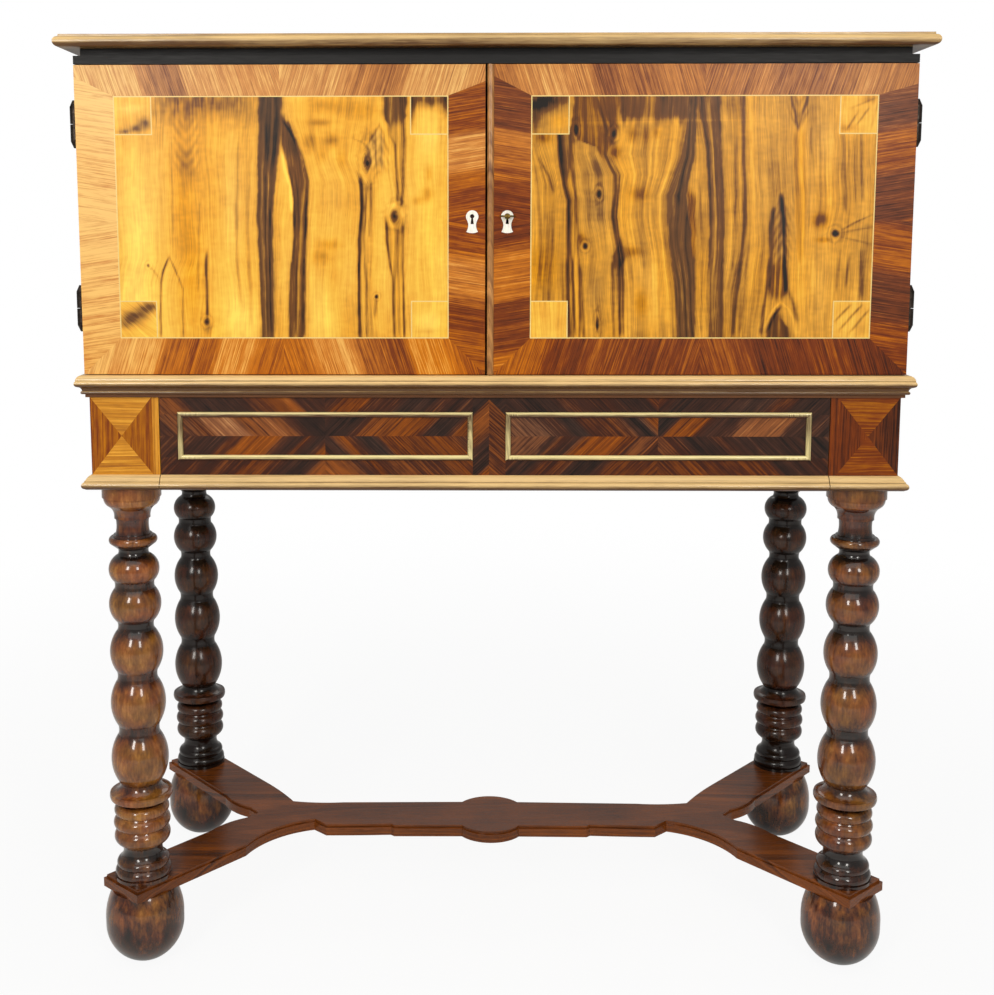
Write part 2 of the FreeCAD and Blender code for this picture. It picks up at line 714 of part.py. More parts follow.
def mouldings(name, shares, face_x, face_y, backing, out, foot, high, x_inner):
    """Side and front lengths, mitred at the two front corners. With x_inner the front is two short lengths."""
    pieces = []
    ends = (foot - cell.overrun, foot + high + cell.overrun)
    reach = face_x + out
    cutters = []
    for side, x_sign in SIDES:
        length_of_side = side_moulding("%s_%s_stick" % (name, side), shares, x_sign, (face_y - out, back),
                                       face_x, out, foot, high)
        cutter = corner_cutter("%s_%s_side_mitre" % (name, side), x_sign, face_x, face_y, out, ends, True)
        pieces.append(without("%s_%s" % (name, side), length_of_side, cutter))
        cutters.append(corner_cutter("%s_%s_front_mitre" % (name, side), x_sign, face_x, face_y, out, ends,
                                     False))
    if x_inner is None:
        stick = front_moulding(name + "_front_stick", shares, (-reach, reach), face_y, backing, out, foot, high)
        pieces.append(without(name + "_front", stick, *cutters))
        return pieces
    for (side, x_sign), cutter in zip(SIDES, cutters):
        stick = front_moulding("%s_front_%s_stick" % (name, side), shares, (x_sign * x_inner, x_sign * reach),
                               face_y, backing, out, foot, high)
        past_side = box("%s_front_%s_inside" % (name, side), (x_sign * face_x, x_sign * (face_x + out)),
                        (face_y, back), ends)
        pieces.append(without("%s_front_%s" % (name, side), stick, cutter, past_side))
    return pieces


node(group("waist_moulding", *mouldings("waist", WAIST_SHARES, platform_x, platform_front, platform_front,
                                        cell.waist_out, frieze_top, cell.platform_high, None)))
node(group("plinth_moulding", *mouldings("plinth", PLINTH_SHARES, post_half, front, core_face,
                                         cell.plinth_out, stand_low, cell.plinth_high, post_inner)))

# Drawer: veneered front with its own length of moulding, two raised frames, sides, back and bottom

drawer_half = post_inner - cell.drawer_gap
drawer_top = frieze_top - cell.drawer_gap
front_back = front + cell.drawer_board
side_low = frieze_low + cell.drawer_rise
drawer_end = back - cell.rail_thick - cell.drawer_slack
floor_z = (side_low + cell.floor_raise, side_low + cell.floor_raise + cell.drawer_floor)
wall_inner = drawer_half - cell.drawer_wall
panel_x = wall_inner + cell.groove_deep
back_y = (drawer_end - 2 * cell.drawer_wall, drawer_end - cell.drawer_wall)

drawer_floor = box("drawer_bottom", (-panel_x, panel_x), (front_back - cell.groove_deep, back_y[1]), floor_z)
node(drawer_floor)
node(without(
    "drawer_front",
    box("drawer_front_board", (-drawer_half, drawer_half), (core_face, front_back),
        (stand_low + cell.drawer_gap, drawer_top)),
    box("drawer_front_groove", (-panel_x, panel_x), (front_back - cell.groove_deep, front_back + cell.overrun),
        floor_z),
))
drawer_sides = []
for side, x_sign in SIDES:
    board = box("drawer_side_%s_board" % side, (x_sign * drawer_half, x_sign * wall_inner),
                (front_back, drawer_end), (side_low, drawer_top))
    groove = box("drawer_side_%s_groove" % side, (x_sign * (wall_inner - cell.overrun), x_sign * panel_x),
                 (front_back - cell.overrun, back_y[1]), floor_z)
    drawer_sides.append(without("drawer_side_" + side, board, groove))
node(group("drawer_sides", *drawer_sides))
node(box("drawer_back", (-wall_inner, wall_inner), back_y, (floor_z[1], drawer_top - cell.drawer_back_drop)))
node(front_moulding("drawer_moulding", PLINTH_SHARES, (-drawer_half, drawer_half), front, core_face,
                    cell.plinth_out, stand_low, cell.plinth_high))

frame_z = (frieze_low + cell.panel_side, frieze_top - cell.panel_side)
FRAMES = (
    ("left", (cell.panel_end - drawer_half, cell.panel_shift - cell.panel_middle / 2)),
    ("right", (cell.panel_shift + cell.panel_middle / 2, drawer_half - cell.panel_end)),
)


def mitred_frame(name, x_ends, z_ends, widths, y_ends):
    """Four flat pieces round a rectangle, mitred at its corners. Widths: left, right, foot and head."""
    x_low, x_high = x_ends
    z_low, z_high = z_ends
    left, right, foot_wide, head_wide = widths
    outside = [(x_low, z_low), (x_high, z_low), (x_high, z_high), (x_low, z_high)]
    inside = [(x_low + left, z_low + foot_wide), (x_high - right, z_low + foot_wide),
              (x_high - right, z_high - head_wide), (x_low + left, z_high - head_wide)]
    pieces = []
    for index, word in enumerate(("foot", "right", "head", "left")):
        after = (index + 1) % len(outside)
        path = [outside[index], outside[after], inside[after], inside[index]]
        pieces.append(prism("%s_%s" % (name, word), "XZ_Plane", y_ends, path))
    return pieces


def front_long_edge(edge):
    """The long edges of a raised stick on its front side, to be rounded."""
    place = edge.BoundBox
    raised = near(place.YMin, front - cell.bead_frame_out) and near(place.YMax, front - cell.bead_frame_out)
    return raised and edge.Length > (2 * cell.bead_frame_wide).number


FRAME_ROUND_SHARE = 0.4
sticks = []
for side, x_ends in FRAMES:
    sticks += mitred_frame("raised_frame_" + side, x_ends, frame_z, [cell.bead_frame_wide] * 4,
                           (front - cell.bead_frame_out, front))
for stick in sticks:
    rounded(stick, FRAME_ROUND_SHARE * cell.bead_frame_wide, front_long_edge)
node(group("drawer_frames", *sticks))

veneer_y = (front, core_face)
middle_z = (frieze_low + frieze_top) / 2
veneers = []
for side, x_ends in FRAMES:
    middle_x = (x_ends[0] + x_ends[1]) / 2
    for end, ends in (("outer", (x_ends[0], middle_x)), ("inner", (middle_x, x_ends[1]))):
        for row, z_ends in (("low", (frame_z[0], middle_z)), ("high", (middle_z, frame_z[1]))):
            veneers.append(box("panel_%s_%s_%s" % (side, end, row), ends, veneer_y, z_ends))
veneers.append(box("drawer_end_left", (-drawer_half, FRAMES[0][1][0]), veneer_y, frame_z))
veneers.append(box("drawer_end_right", (FRAMES[1][1][1], drawer_half), veneer_y, frame_z))
veneers.append(box("drawer_middle", (FRAMES[0][1][1], FRAMES[1][1][0]), veneer_y, frame_z))
veneers.append(box("drawer_border_low", (-drawer_half, drawer_half), veneer_y, (frieze_low, frame_z[0])))
veneers.append(box("drawer_border_high", (-drawer_half, drawer_half), veneer_y, (frame_z[1], drawer_top)))
node(group("drawer_veneers", *veneers))

# Screws: a countersunk head flush with a face at y, driven towards the front or the back

wood_cutters = {"case_side_left": [], "case_side_right": [], "door_core_left": [], "door_core_right": []}
screws = {"case_screws": [], "left_door_screws": [], "right_door_screws": []}


def screw(name, x, z, face, y_sign, spare):
    """A screw whose head lies in a face and points along Y by y_sign, larger all round by spare."""
    neck = face + y_sign * cell.screw_sink
    tip = neck + y_sign * (cell.screw_long + spare)
    head_radii = (cell.screw_head + spare, cell.screw_radius + spare)
    low_radius, high_radius = head_radii if y_sign > 0 else head_radii[::-1]
    return joined(name,
                  cone(name + "_head", low_radius, high_radius, "y", (face, neck), (x, z)),
                  rod(name + "_shank", cell.screw_radius + spare, "y", (neck, tip), (x, z)))


def screw_and_hole(name, x, z, face, y_sign, owner, wood):
    """Files a screw with its owner, and gives the cutter for the fitting that it holds."""
    screws[owner].append(screw(name, x, z, face, y_sign, length(0)))
    cutter = screw(name + "_hole", x, z, face, y_sign, cell.glue_gap)
    wood_cutters[wood].append(cutter)
    return cutter


# Hinges: lift-off barrels at the sides, the door's knuckle on top of the case's knuckle and pin

axis_y = (door_back + case_front) / 2
HINGES = (("upper", cell.hinge_upper), ("lower", cell.hinge_lower))
SCREW_SHARES = (0.28, 0.72)
case_leaves = []


def hinge(side, x_sign, height_word, rise):
    """Gives the door's half and files the case's half."""
    axis_x = x_sign * (case_half + cell.hinge_out)
    middle = door_low + rise
    centre = (axis_x, axis_y)
    halves = []
    for half, z_sign in (("door", 1), ("case", -1)):
        name = "%s_%s_hinge_%s" % (side, height_word, half)
        split = middle + z_sign * cell.hinge_split
        far = middle + z_sign * cell.hinge_half
        shoulder = far - z_sign * cell.finial_high
        radii = (cell.hinge_radius, cell.finial_tip) if z_sign > 0 else (cell.finial_tip, cell.hinge_radius)
        wood_face = door_back if half == "door" else case_front
        leaf_face = wood_face - cell.leaf_thick if half == "door" else wood_face + cell.leaf_thick
        wood = ("door_core_" if half == "door" else "case_side_") + side
        owner = side + "_door_screws" if half == "door" else "case_screws"
        leaf_z = (split, shoulder)
        wood_x = (x_sign * (case_half - cell.leaf_wide), x_sign * case_half)
        leaf = box(name + "_leaf", (wood_x[0], axis_x), (wood_face, leaf_face), leaf_z)
        wood_cutters[wood].append(box(name + "_recess", (wood_x[0], x_sign * (case_half + cell.overrun)),
                                      (wood_face, leaf_face), leaf_z))
        barrel = rod(name + "_barrel", cell.hinge_radius, "z", (split, shoulder), centre)
        finial = cone(name + "_finial", radii[0], radii[1], "z", (shoulder, far), centre)
        holes = []
        for index, share in enumerate(SCREW_SHARES):
            hole_z = split + share * (shoulder - split)
            hole_x = (wood_x[0] + wood_x[1]) / 2
            holes.append(screw_and_hole("%s_screw_%d" % (name, index + 1), hole_x, hole_z, wood_face,
                                        -1 if half == "door" else 1, owner, wood))
        if half == "door":
            bore = rod(name + "_bore", cell.pin_radius + cell.glue_gap, "z",
                       (split - cell.overrun, split + cell.pin_high), centre)
            halves.append(without(name, joined(name + "_metal", leaf, barrel, finial), bore, *holes))
        else:
            pin = rod(name + "_pin", cell.pin_radius, "z", (split, split + cell.pin_high), centre)
            halves.append(without(name, joined(name + "_metal", leaf, barrel, finial, pin), *holes))
    case_leaves.append(halves[1])
    return halves[0]


for side, x_sign in SIDES:
    node(group("hinge_leaves_" + side, *[hinge(side, x_sign, word, rise) for word, rise in HINGES]))
node(group("hinge_leaves_case", *case_leaves))

# Lock on the right door: a flanged case with a drill pin, the bolt, the key and the keep

key_z = door_low + cell.key_rise
key_x = cell.key_place
right_edge = cell.seam_gap - cell.seam_place
left_edge = -cell.seam_place
lock_x = (right_edge + cell.lock_inset, right_edge + cell.lock_inset + cell.lock_wide)
lock_y = (door_back, door_back + cell.lock_deep)
lock_z = (key_z - cell.lock_high / 2, key_z + cell.lock_high / 2)
bolt_low = key_z + cell.bit_reach + 2 * cell.slide_gap
bolt_z = (bolt_low, bolt_low + cell.bolt_high)
key_end = lock_y[1] - cell.lock_wall - cell.slide_gap
bit_middle = key_end - cell.bit_wide / 2
bolt_y = (bit_middle - cell.bolt_thick / 2, bit_middle + cell.bolt_thick / 2)
bolt_x = (lock_x[0], lock_x[0] + cell.bolt_long)


def grown(ends, gap):
    low, high = span(*ends)
    return low - gap, high + gap


def fitting(name, x, y, z, hollow_x, owner, wood):
    """A flanged iron box, open towards the door, with screws through its two flanges."""
    flange_z = (z[0] - cell.flange_high, z[1] + cell.flange_high)
    shell = joined(name + "_shell", box(name + "_cover", x, y, z),
                   box(name + "_flange", x, (y[0], y[0] + cell.leaf_thick), flange_z))
    wall = cell.lock_wall
    hollow = box(name + "_hollow", hollow_x, (y[0] - cell.overrun, y[1] - wall), (z[0] + wall, z[1] - wall))
    tools = [hollow]
    for word, hole_z in (("foot", (flange_z[0] + z[0]) / 2), ("head", (z[1] + flange_z[1]) / 2)):
        for index, share in enumerate(SCREW_SHARES):
            hole_x = x[0] + share * (x[1] - x[0])
            tools.append(screw_and_hole("%s_%s_screw_%d" % (name, word, index + 1), hole_x, hole_z,
                                        y[0] + cell.leaf_thick, -1, owner, wood))
    return shell, tools


lock_shell, lock_tools = fitting("lock", lock_x, lock_y, lock_z,
                                 (lock_x[0] + cell.lock_wall, lock_x[1] - cell.lock_wall),
                                 "right_door_screws", "door_core_right")
lock_tools.append(box("lock_slot", (lock_x[0] - cell.overrun, lock_x[0] + cell.lock_wall + cell.overrun),
                      grown(bolt_y, cell.slide_gap), grown(bolt_z, cell.slide_gap)))
pin_y = (lock_y[1] - cell.lock_wall, lock_y[1] - cell.lock_wall - cell.pipe_deep)
drill_pin = rod("drill_pin", cell.pipe_radius - cell.pipe_fit, "y", pin_y, (key_x, key_z))
node(joined("lock_case", without("lock_body", lock_shell, *lock_tools), drill_pin))

tooth_z = (bolt_z[0] - cell.tooth_high, bolt_z[0])
gap_middle = key_x + cell.bolt_throw / 2
teeth = []
for word, x_sign in (("near", -1), ("far", 1)):
    first = gap_middle + x_sign * cell.tooth_gap / 2
    teeth.append(box("tooth_" + word, (first, first + x_sign * cell.tooth_wide), bolt_y, tooth_z))
node(joined("lock_bolt", box("bolt_bar", bolt_x, bolt_y, bolt_z), *teeth))

keep_x = (left_edge - cell.lock_inset - cell.keep_wide, left_edge - cell.lock_inset)
keep_middle = bolt_z[0] + cell.bolt_high / 2
keep_z = (keep_middle - cell.keep_high / 2, keep_middle + cell.keep_high / 2)
keep_shell, keep_tools = fitting("keep", keep_x, lock_y, keep_z,
                                 (keep_x[0] + cell.lock_wall, keep_x[1] - cell.lock_wall),
                                 "left_door_screws", "door_core_left")
keep_tools.append(box("keep_mouth", (keep_x[1] - cell.lock_wall - cell.overrun, keep_x[1] + cell.overrun),
                      grown(bolt_y, cell.slide_gap), grown(bolt_z, cell.slide_gap)))
node(without("lock_keep", keep_shell, *keep_tools))

plate_y = (door_front - cell.plate_thick, door_front)
bow_y = (plate_y[0] - cell.plate_thick - cell.bow_deep, plate_y[0] - cell.plate_thick)
bow_middle = (bow_y[0] + bow_y[1]) / 2


def oval(name, x_half, y_half, z_half):
    """An upright oval prism round the middle of the key's bow."""
    path = [(key_x - x_half, bow_middle), (key_x, bow_middle - y_half, key_x + x_half, bow_middle),
            (key_x, bow_middle + y_half, key_x - x_half, bow_middle)]
    return prism(name, "XY_Plane", (key_z - z_half, key_z + z_half), path[1:])


bow = without("key_bow", oval("bow_outside", cell.bow_wide / 2, cell.bow_deep / 2, cell.bow_thick / 2),
              oval("bow_inside", cell.bow_wide / 2 - cell.bow_wire, cell.bow_deep / 2 - cell.bow_wire / 2,
                   cell.bow_thick))
shank = rod("key_shank", cell.shank_radius, "y", (bow_y[1] - cell.bow_wire / 2, key_end), (key_x, key_z))
collar = rod("key_collar", 2 * cell.shank_radius - cell.slide_gap, "y",
             (bow_y[1] - cell.slide_gap, bow_y[1] + cell.plate_thick / 2), (key_x, key_z))
bit = box("key_bit", (key_x, key_x + cell.bit_reach), (key_end - cell.bit_wide, key_end),
          (key_z - cell.bit_thick / 2, key_z + cell.bit_thick / 2))
pipe = rod("key_pipe", cell.pipe_radius, "y", (key_end - cell.pipe_deep, key_end + cell.overrun),
           (key_x, key_z))
node(without("key", joined("key_metal", bow, shank, collar, bit), pipe))

# Escutcheons and the keyhole. Stops are shares of the plate's half width and of its height.

PLATE_SHARES = (
    (-0.93, -0.70), (-0.62, -0.42, -0.86, -0.15), (0, 0.27, 0.86, -0.15), (0.62, -0.42, 0.93, -0.70),
    (0, -0.76, -0.93, -0.70),
)
SLOT_SHARES = (0.42, 0.75)


def keyhole(name, x, y_ends):
    """A round head with a slot that widens towards its foot."""
    radius = cell.keyhole_radius
    top_half = SLOT_SHARES[0] * radius
    foot_half = SLOT_SHARES[1] * radius
    shoulder = key_z - root(radius * radius - top_half * top_half)
    foot_z = key_z - cell.keyhole_reach
    return prism(name, "XZ_Plane", y_ends, [
        (x - foot_half, foot_z),
        (x + foot_half, foot_z),
        (x + top_half, shoulder),
        (x, key_z + radius, x - top_half, shoulder),
    ])


def escutcheon(name, x):
    half = cell.plate_wide / 2
    path = []
    for row in PLATE_SHARES:
        stop = []
        for index, share in enumerate(row):
            stop.append(key_z + share * cell.plate_high if index % 2 else x + share * half)
        path.append(tuple(stop))
    plate = prism(name + "_plate", "XZ_Plane", plate_y, path[1:])
    return without(name, plate, keyhole(name + "_hole", x, grown(plate_y, cell.overrun)))


node(escutcheon("escutcheon_left", -cell.blind_place))
node(escutcheon("escutcheon_right", key_x))

# Surface bolts inside the left door

rod_x = left_edge - cell.rod_place
BOLTS = (("top", 1, lid_low - cell.rod_short), ("bottom", -1, floor_top + cell.rod_short))
backplates = []
sockets = {}
for word, z_sign, tip in BOLTS:
    plate_back = door_back + cell.backplate_thick
    rod_y = (plate_back + cell.staple_wall, plate_back + cell.staple_wall + cell.rod_thick)
    rod_span = (rod_x - cell.rod_wide / 2, rod_x + cell.rod_wide / 2)
    far = tip - z_sign * cell.rod_long
    plate_near = tip - z_sign * cell.backplate_inset
    plate_far = plate_near - z_sign * cell.backplate_long
    plate = box(word + "_plate", (rod_x - cell.backplate_wide / 2, rod_x + cell.backplate_wide / 2),
                (door_back, plate_back), (plate_near, plate_far))
    staples = []
    for place, first in (("near", plate_near), ("far", plate_far + z_sign * cell.staple_high)):
        staples.append(box("%s_staple_%s" % (word, place),
                           (rod_x - cell.staple_wide / 2, rod_x + cell.staple_wide / 2),
                           (plate_back, rod_y[1] + cell.staple_wall),
                           (first, first - z_sign * cell.staple_high)))
    passage = box(word + "_passage", grown(rod_span, cell.slide_gap), grown(rod_y, cell.slide_gap), (tip, far))
    backplates.append(without(word + "_bolt_guide", joined(word + "_guide_metal", plate, *staples), passage))
    middle = (tip + far) / 2
    bar_of_bolt = box(word + "_bar", rod_span, rod_y, (tip, far))
    knob = rod(word + "_knob", cell.knob_radius, "y", (rod_y[1], rod_y[1] + cell.knob_long), (rod_x, middle))
    node(joined(word + "_bolt", bar_of_bolt, knob))
    face = tip + z_sign * cell.rod_short
    sockets[word] = box(word + "_socket", grown(rod_span, cell.slide_gap), grown(rod_y, cell.slide_gap),
                        (face - z_sign * cell.overrun, face + z_sign * cell.rod_throw))
node(group("bolt_guides", *backplates))

# Doors: a core, mitred cross-grained borders, a figured field with corner squares, and stringing


def door(side, x_sign, meeting, veneer_meeting):
    outer = x_sign * case_half
    core = box("door_core_%s_board" % side, (outer, meeting), (core_front, door_back), (door_low, door_top))
    tools = wood_cutters["door_core_" + side]
    veneer_depth = (door_front, core_front)
    field_outer = outer - x_sign * cell.band_outer
    field_inner = veneer_meeting + x_sign * cell.band_inner
    x_low, x_high = span(field_outer, field_inner)
    z_low = door_low + cell.band_lower
    z_high = door_top - cell.band_upper
    whole_x = span(outer, veneer_meeting)
    widths = (x_low - whole_x[0], whole_x[1] - x_high, cell.band_lower, cell.band_upper)
    band = mitred_frame("band_" + side, whole_x, (door_low, door_top), widths, veneer_depth)
    if side == "right":
        tools.append(keyhole("core_keyhole", key_x, (core_front - cell.overrun, door_back + cell.overrun)))
        word = "left"
        index = ("foot", "right", "head", "left").index(word)
        band[index] = without("band_right_pierced", band[index],
                              keyhole("veneer_keyhole", key_x, grown(veneer_depth, cell.overrun)))
    node(without("door_core_" + side, core, *tools))
    node(group("door_banding_" + side, *band))

    string = cell.string_wide
    square = cell.corner_square
    inner_x = (x_low + string, x_high - string)
    inner_z = (z_low + string, z_high - string)
    ring = without("ring_" + side,
                   box("ring_%s_outside" % side, (x_low, x_high), veneer_depth, (z_low, z_high)),
                   box("ring_%s_inside" % side, inner_x, grown(veneer_depth, cell.overrun), inner_z))
    lines = [ring]
    squares = []
    notches = []
    for z_word, z_place, z_step in (("low", inner_z[0], 1), ("high", inner_z[1], -1)):
        for x_word, x_place, x_step in (("west", inner_x[0], 1), ("east", inner_x[1], -1)):
            name = "%s_%s_%s" % (side, x_word, z_word)
            far_x = x_place + x_step * square
            far_z = z_place + z_step * square
            line_x = far_x + x_step * string
            line_z = far_z + z_step * string
            squares.append(box(name + "_square", (x_place, far_x), veneer_depth, (z_place, far_z)))
            outside = box(name + "_outside", (x_place, line_x), veneer_depth, (z_place, line_z))
            hollow = box(name + "_hollow", (x_place - x_step * cell.overrun, far_x),
                         grown(veneer_depth, cell.overrun), (z_place - z_step * cell.overrun, far_z))
            lines.append(without(name + "_line", outside, hollow))
            notches.append(box(name + "_notch", (x_place - x_step * cell.overrun, line_x),
                               grown(veneer_depth, cell.overrun), (z_place - z_step * cell.overrun, line_z)))
    field = box("field_%s_sheet" % side, inner_x, veneer_depth, inner_z)
    node(without("door_field_" + side, field, *notches))
    node(group("door_squares_" + side, *squares))
    node(group("door_stringing_" + side, *lines))


door("left", -1, left_edge, left_edge)
door("right", 1, right_edge, right_edge + cell.bead_wide)

bead_x = (right_edge, right_edge + cell.bead_wide)
BEAD_FLAT_SHARE = 0.55
bead_front = core_front - cell.bead_out
bead_flat = core_front - BEAD_FLAT_SHARE * cell.bead_out
node(prism("meeting_bead", "XY_Plane", (door_low, door_top), [
    (bead_x[0], core_front),
    (bead_x[0], bead_flat),
    ((bead_x[0] + bead_x[1]) / 2, bead_front, bead_x[1], bead_flat),
    (bead_x[1], core_front),
]))

for name, pieces in screws.items():
    node(group(name, *pieces))

# Case: sides, bottom, top and back boards, shelf, black cornice and the top board

for side, x_sign in SIDES:
    name = "case_side_" + side
    board = box(name + "_board", (x_sign * case_half, x_sign * side_inner), (case_front, back),
                (case_low, case_high))
    node(without(name, board, *wood_cutters[name]))
inside_x = (-side_inner, side_inner)
node(without("case_bottom", box("case_bottom_board", inside_x, (case_front, back_inner), (case_low, floor_top)),
             sockets["bottom"]))
node(without("case_top", box("case_top_board", inside_x, (case_front, back_inner), (lid_low, case_high)),
             sockets["top"]))
BOARD_SHARES = (0, 0.34, 0.67, 1)
boards = []
for index, (start, end) in enumerate(zip(BOARD_SHARES, BOARD_SHARES[1:])):
    boards.append(box("back_board_%d" % (index + 1), (start * 2 * side_inner - side_inner,
                                                      end * 2 * side_inner - side_inner),
                      (back_inner, back), (case_low, case_high)))
node(group("case_back", *boards))
shelf_low = floor_top + cell.shelf_rise
shelf_y = (case_front + cell.shelf_inset, back_inner)
node(box("shelf", (cell.shelf_play - side_inner, side_inner - cell.shelf_play), shelf_y,
         (shelf_low, shelf_low + cell.shelf_thick)))
node(group("shelf_bearers", *[
    box("bearer_" + side, (x_sign * side_inner, x_sign * (side_inner - cell.bearer_side)), shelf_y,
        (shelf_low - cell.bearer_side, shelf_low)) for side, x_sign in SIDES
]))


def cornice_path(face, sign):
    """Section of a cornice strip: a step flush with the case, and a band set back over it."""
    recess = face - sign * cell.cornice_recess
    inner = face - sign * cell.cornice_wide
    step_top = case_high + cell.cornice_step
    return [(face, case_high), (face, step_top), (recess, step_top), (recess, cornice_top),
            (inner, cornice_top), (inner, case_high)]


def cornice():
    """Front strip mitred to the side strips, and a back strip between the sides."""
    cutters = []
    returns = []
    ends = (case_high - cell.overrun, cornice_top + cell.overrun)
    for side, x_sign in SIDES:
        stick = prism("cornice_%s_stick" % side, "XZ_Plane", (door_front, back),
                      cornice_path(x_sign * case_half, x_sign))
        mitre = corner_cutter("cornice_%s_mitre" % side, x_sign, case_half, door_front, cell.cornice_wide,
                              ends, True)
        returns.append(without("cornice_" + side, stick, mitre))
        cutters.append(corner_cutter("cornice_front_%s_mitre" % side, x_sign, case_half, door_front,
                                     cell.cornice_wide, ends, False))
    stick = prism("cornice_front_stick", "YZ_Plane", (-case_half, case_half), cornice_path(door_front, -1))
    node(without("cornice_front", stick, *cutters))
    inner = case_half - cell.cornice_wide
    returns.append(box("cornice_back", (-inner, inner), (back - cell.cornice_wide, back),
                       (case_high, cornice_top)))
    node(group("cornice_returns", *returns))


cornice()

top_x = case_half + cell.top_over
top_y = cell.top_over - door_front
top_step = top_high - cell.top_quirk
top_body = prism("top_slab", "XY_Plane", (cornice_top, top_step),
                 [(-top_x, -top_y), (top_x, -top_y), (top_x, top_y), (-top_x, top_y)])
rounded(top_body, cell.top_round, lambda edge: edge.BoundBox.ZLength < SAME_PLACE)
STEP_SHARE = 0.5
step_x = top_x - cell.top_quirk - STEP_SHARE * cell.top_round
step_y = top_y - cell.top_quirk - STEP_SHARE * cell.top_round
top_cap = box("top_cap", (-step_x, step_x), (-step_y, step_y), (top_step - cell.overrun, top_high))
node(joined("top_board", top_body, top_cap))

# Check every object, then write each sub-part under its own name

doc.recompute()
for part in doc.Objects:
    if "Invalid" in part.State or "Error" in part.State:
        raise RuntimeError("%s failed: %s" % (part.Name, part.State))
for part in nodes:
    if part.Shape.isNull() or not part.Shape.isValid():
        raise RuntimeError("%s has no valid shape" % part.Name)

os.makedirs("parts", exist_ok=True)
for part in nodes:
    part.Shape.exportStep(os.path.join("parts", part.Label + ".step"))
print(len(nodes), "sub-parts written")
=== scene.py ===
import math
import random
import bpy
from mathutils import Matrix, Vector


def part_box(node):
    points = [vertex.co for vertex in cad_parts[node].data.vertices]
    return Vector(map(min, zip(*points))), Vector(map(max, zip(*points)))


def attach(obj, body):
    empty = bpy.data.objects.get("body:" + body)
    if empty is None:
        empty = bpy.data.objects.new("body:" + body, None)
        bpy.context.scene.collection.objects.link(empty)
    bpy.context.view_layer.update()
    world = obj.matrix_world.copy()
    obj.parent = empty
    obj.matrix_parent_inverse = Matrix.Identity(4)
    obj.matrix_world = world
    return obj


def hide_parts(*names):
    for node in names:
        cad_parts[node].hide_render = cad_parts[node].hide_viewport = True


bl_info = {
    "name": "Two-door marquetry cabinet on a stand",
    "version": (1, 0, 0),
    "blender": (4, 5, 0),
    "location": "View3D > Sidebar > Cabinet",
    "description": "Dresses the cabinet's solids in veneer, polish, iron and bone",
    "category": "Object",
}

import bpy
import numpy as np
from mathutils import Matrix, Vector

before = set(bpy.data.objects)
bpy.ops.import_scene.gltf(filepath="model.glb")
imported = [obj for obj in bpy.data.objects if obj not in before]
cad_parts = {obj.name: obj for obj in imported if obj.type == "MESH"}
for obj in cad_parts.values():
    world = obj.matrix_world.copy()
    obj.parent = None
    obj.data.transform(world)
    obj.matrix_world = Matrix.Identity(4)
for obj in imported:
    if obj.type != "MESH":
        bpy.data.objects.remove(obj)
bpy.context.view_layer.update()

MM = 0.001


def linear(code):
    """An sRGB hex colour as linear red, green and blue."""
    channels = [int(code[place:place + 2], 16) / 255 for place in (1, 3, 5)]
    return tuple(c / 12.92 if c <= 0.04045 else ((c + 0.055) / 1.055) ** 2.4 for c in channels)


# Where the veneers lie, taken from the solids that they stand for

POST_LOW, POST_HIGH = (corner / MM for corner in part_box("post_veneers"))
DRAWER_LOW, DRAWER_HIGH = (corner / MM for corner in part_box("drawer_veneers"))
PANEL_LOW, PANEL_HIGH = (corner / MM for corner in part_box("drawer_frames"))
LEFT_LOW, LEFT_HIGH = (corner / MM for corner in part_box("door_banding_left"))
RIGHT_LOW, RIGHT_HIGH = (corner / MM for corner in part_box("door_banding_right"))
LEFT_STRING = [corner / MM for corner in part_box("door_stringing_left")]
RIGHT_STRING = [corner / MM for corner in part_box("door_stringing_right")]
LEFT_FIELD = [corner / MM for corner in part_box("door_field_left")]
RIGHT_FIELD = [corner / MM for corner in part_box("door_field_right")]
LEG_AXIS = (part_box("leg_rear_right")[0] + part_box("leg_rear_right")[1]) / 2 / MM
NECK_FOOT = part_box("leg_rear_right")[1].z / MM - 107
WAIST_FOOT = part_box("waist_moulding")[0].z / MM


def colour(name, description, code):
    """A colour for the panel, from its sRGB hex code."""
    return bpy.props.FloatVectorProperty(name=name, description=description, default=linear(code),
                                         subtype="COLOR", min=0, max=1)


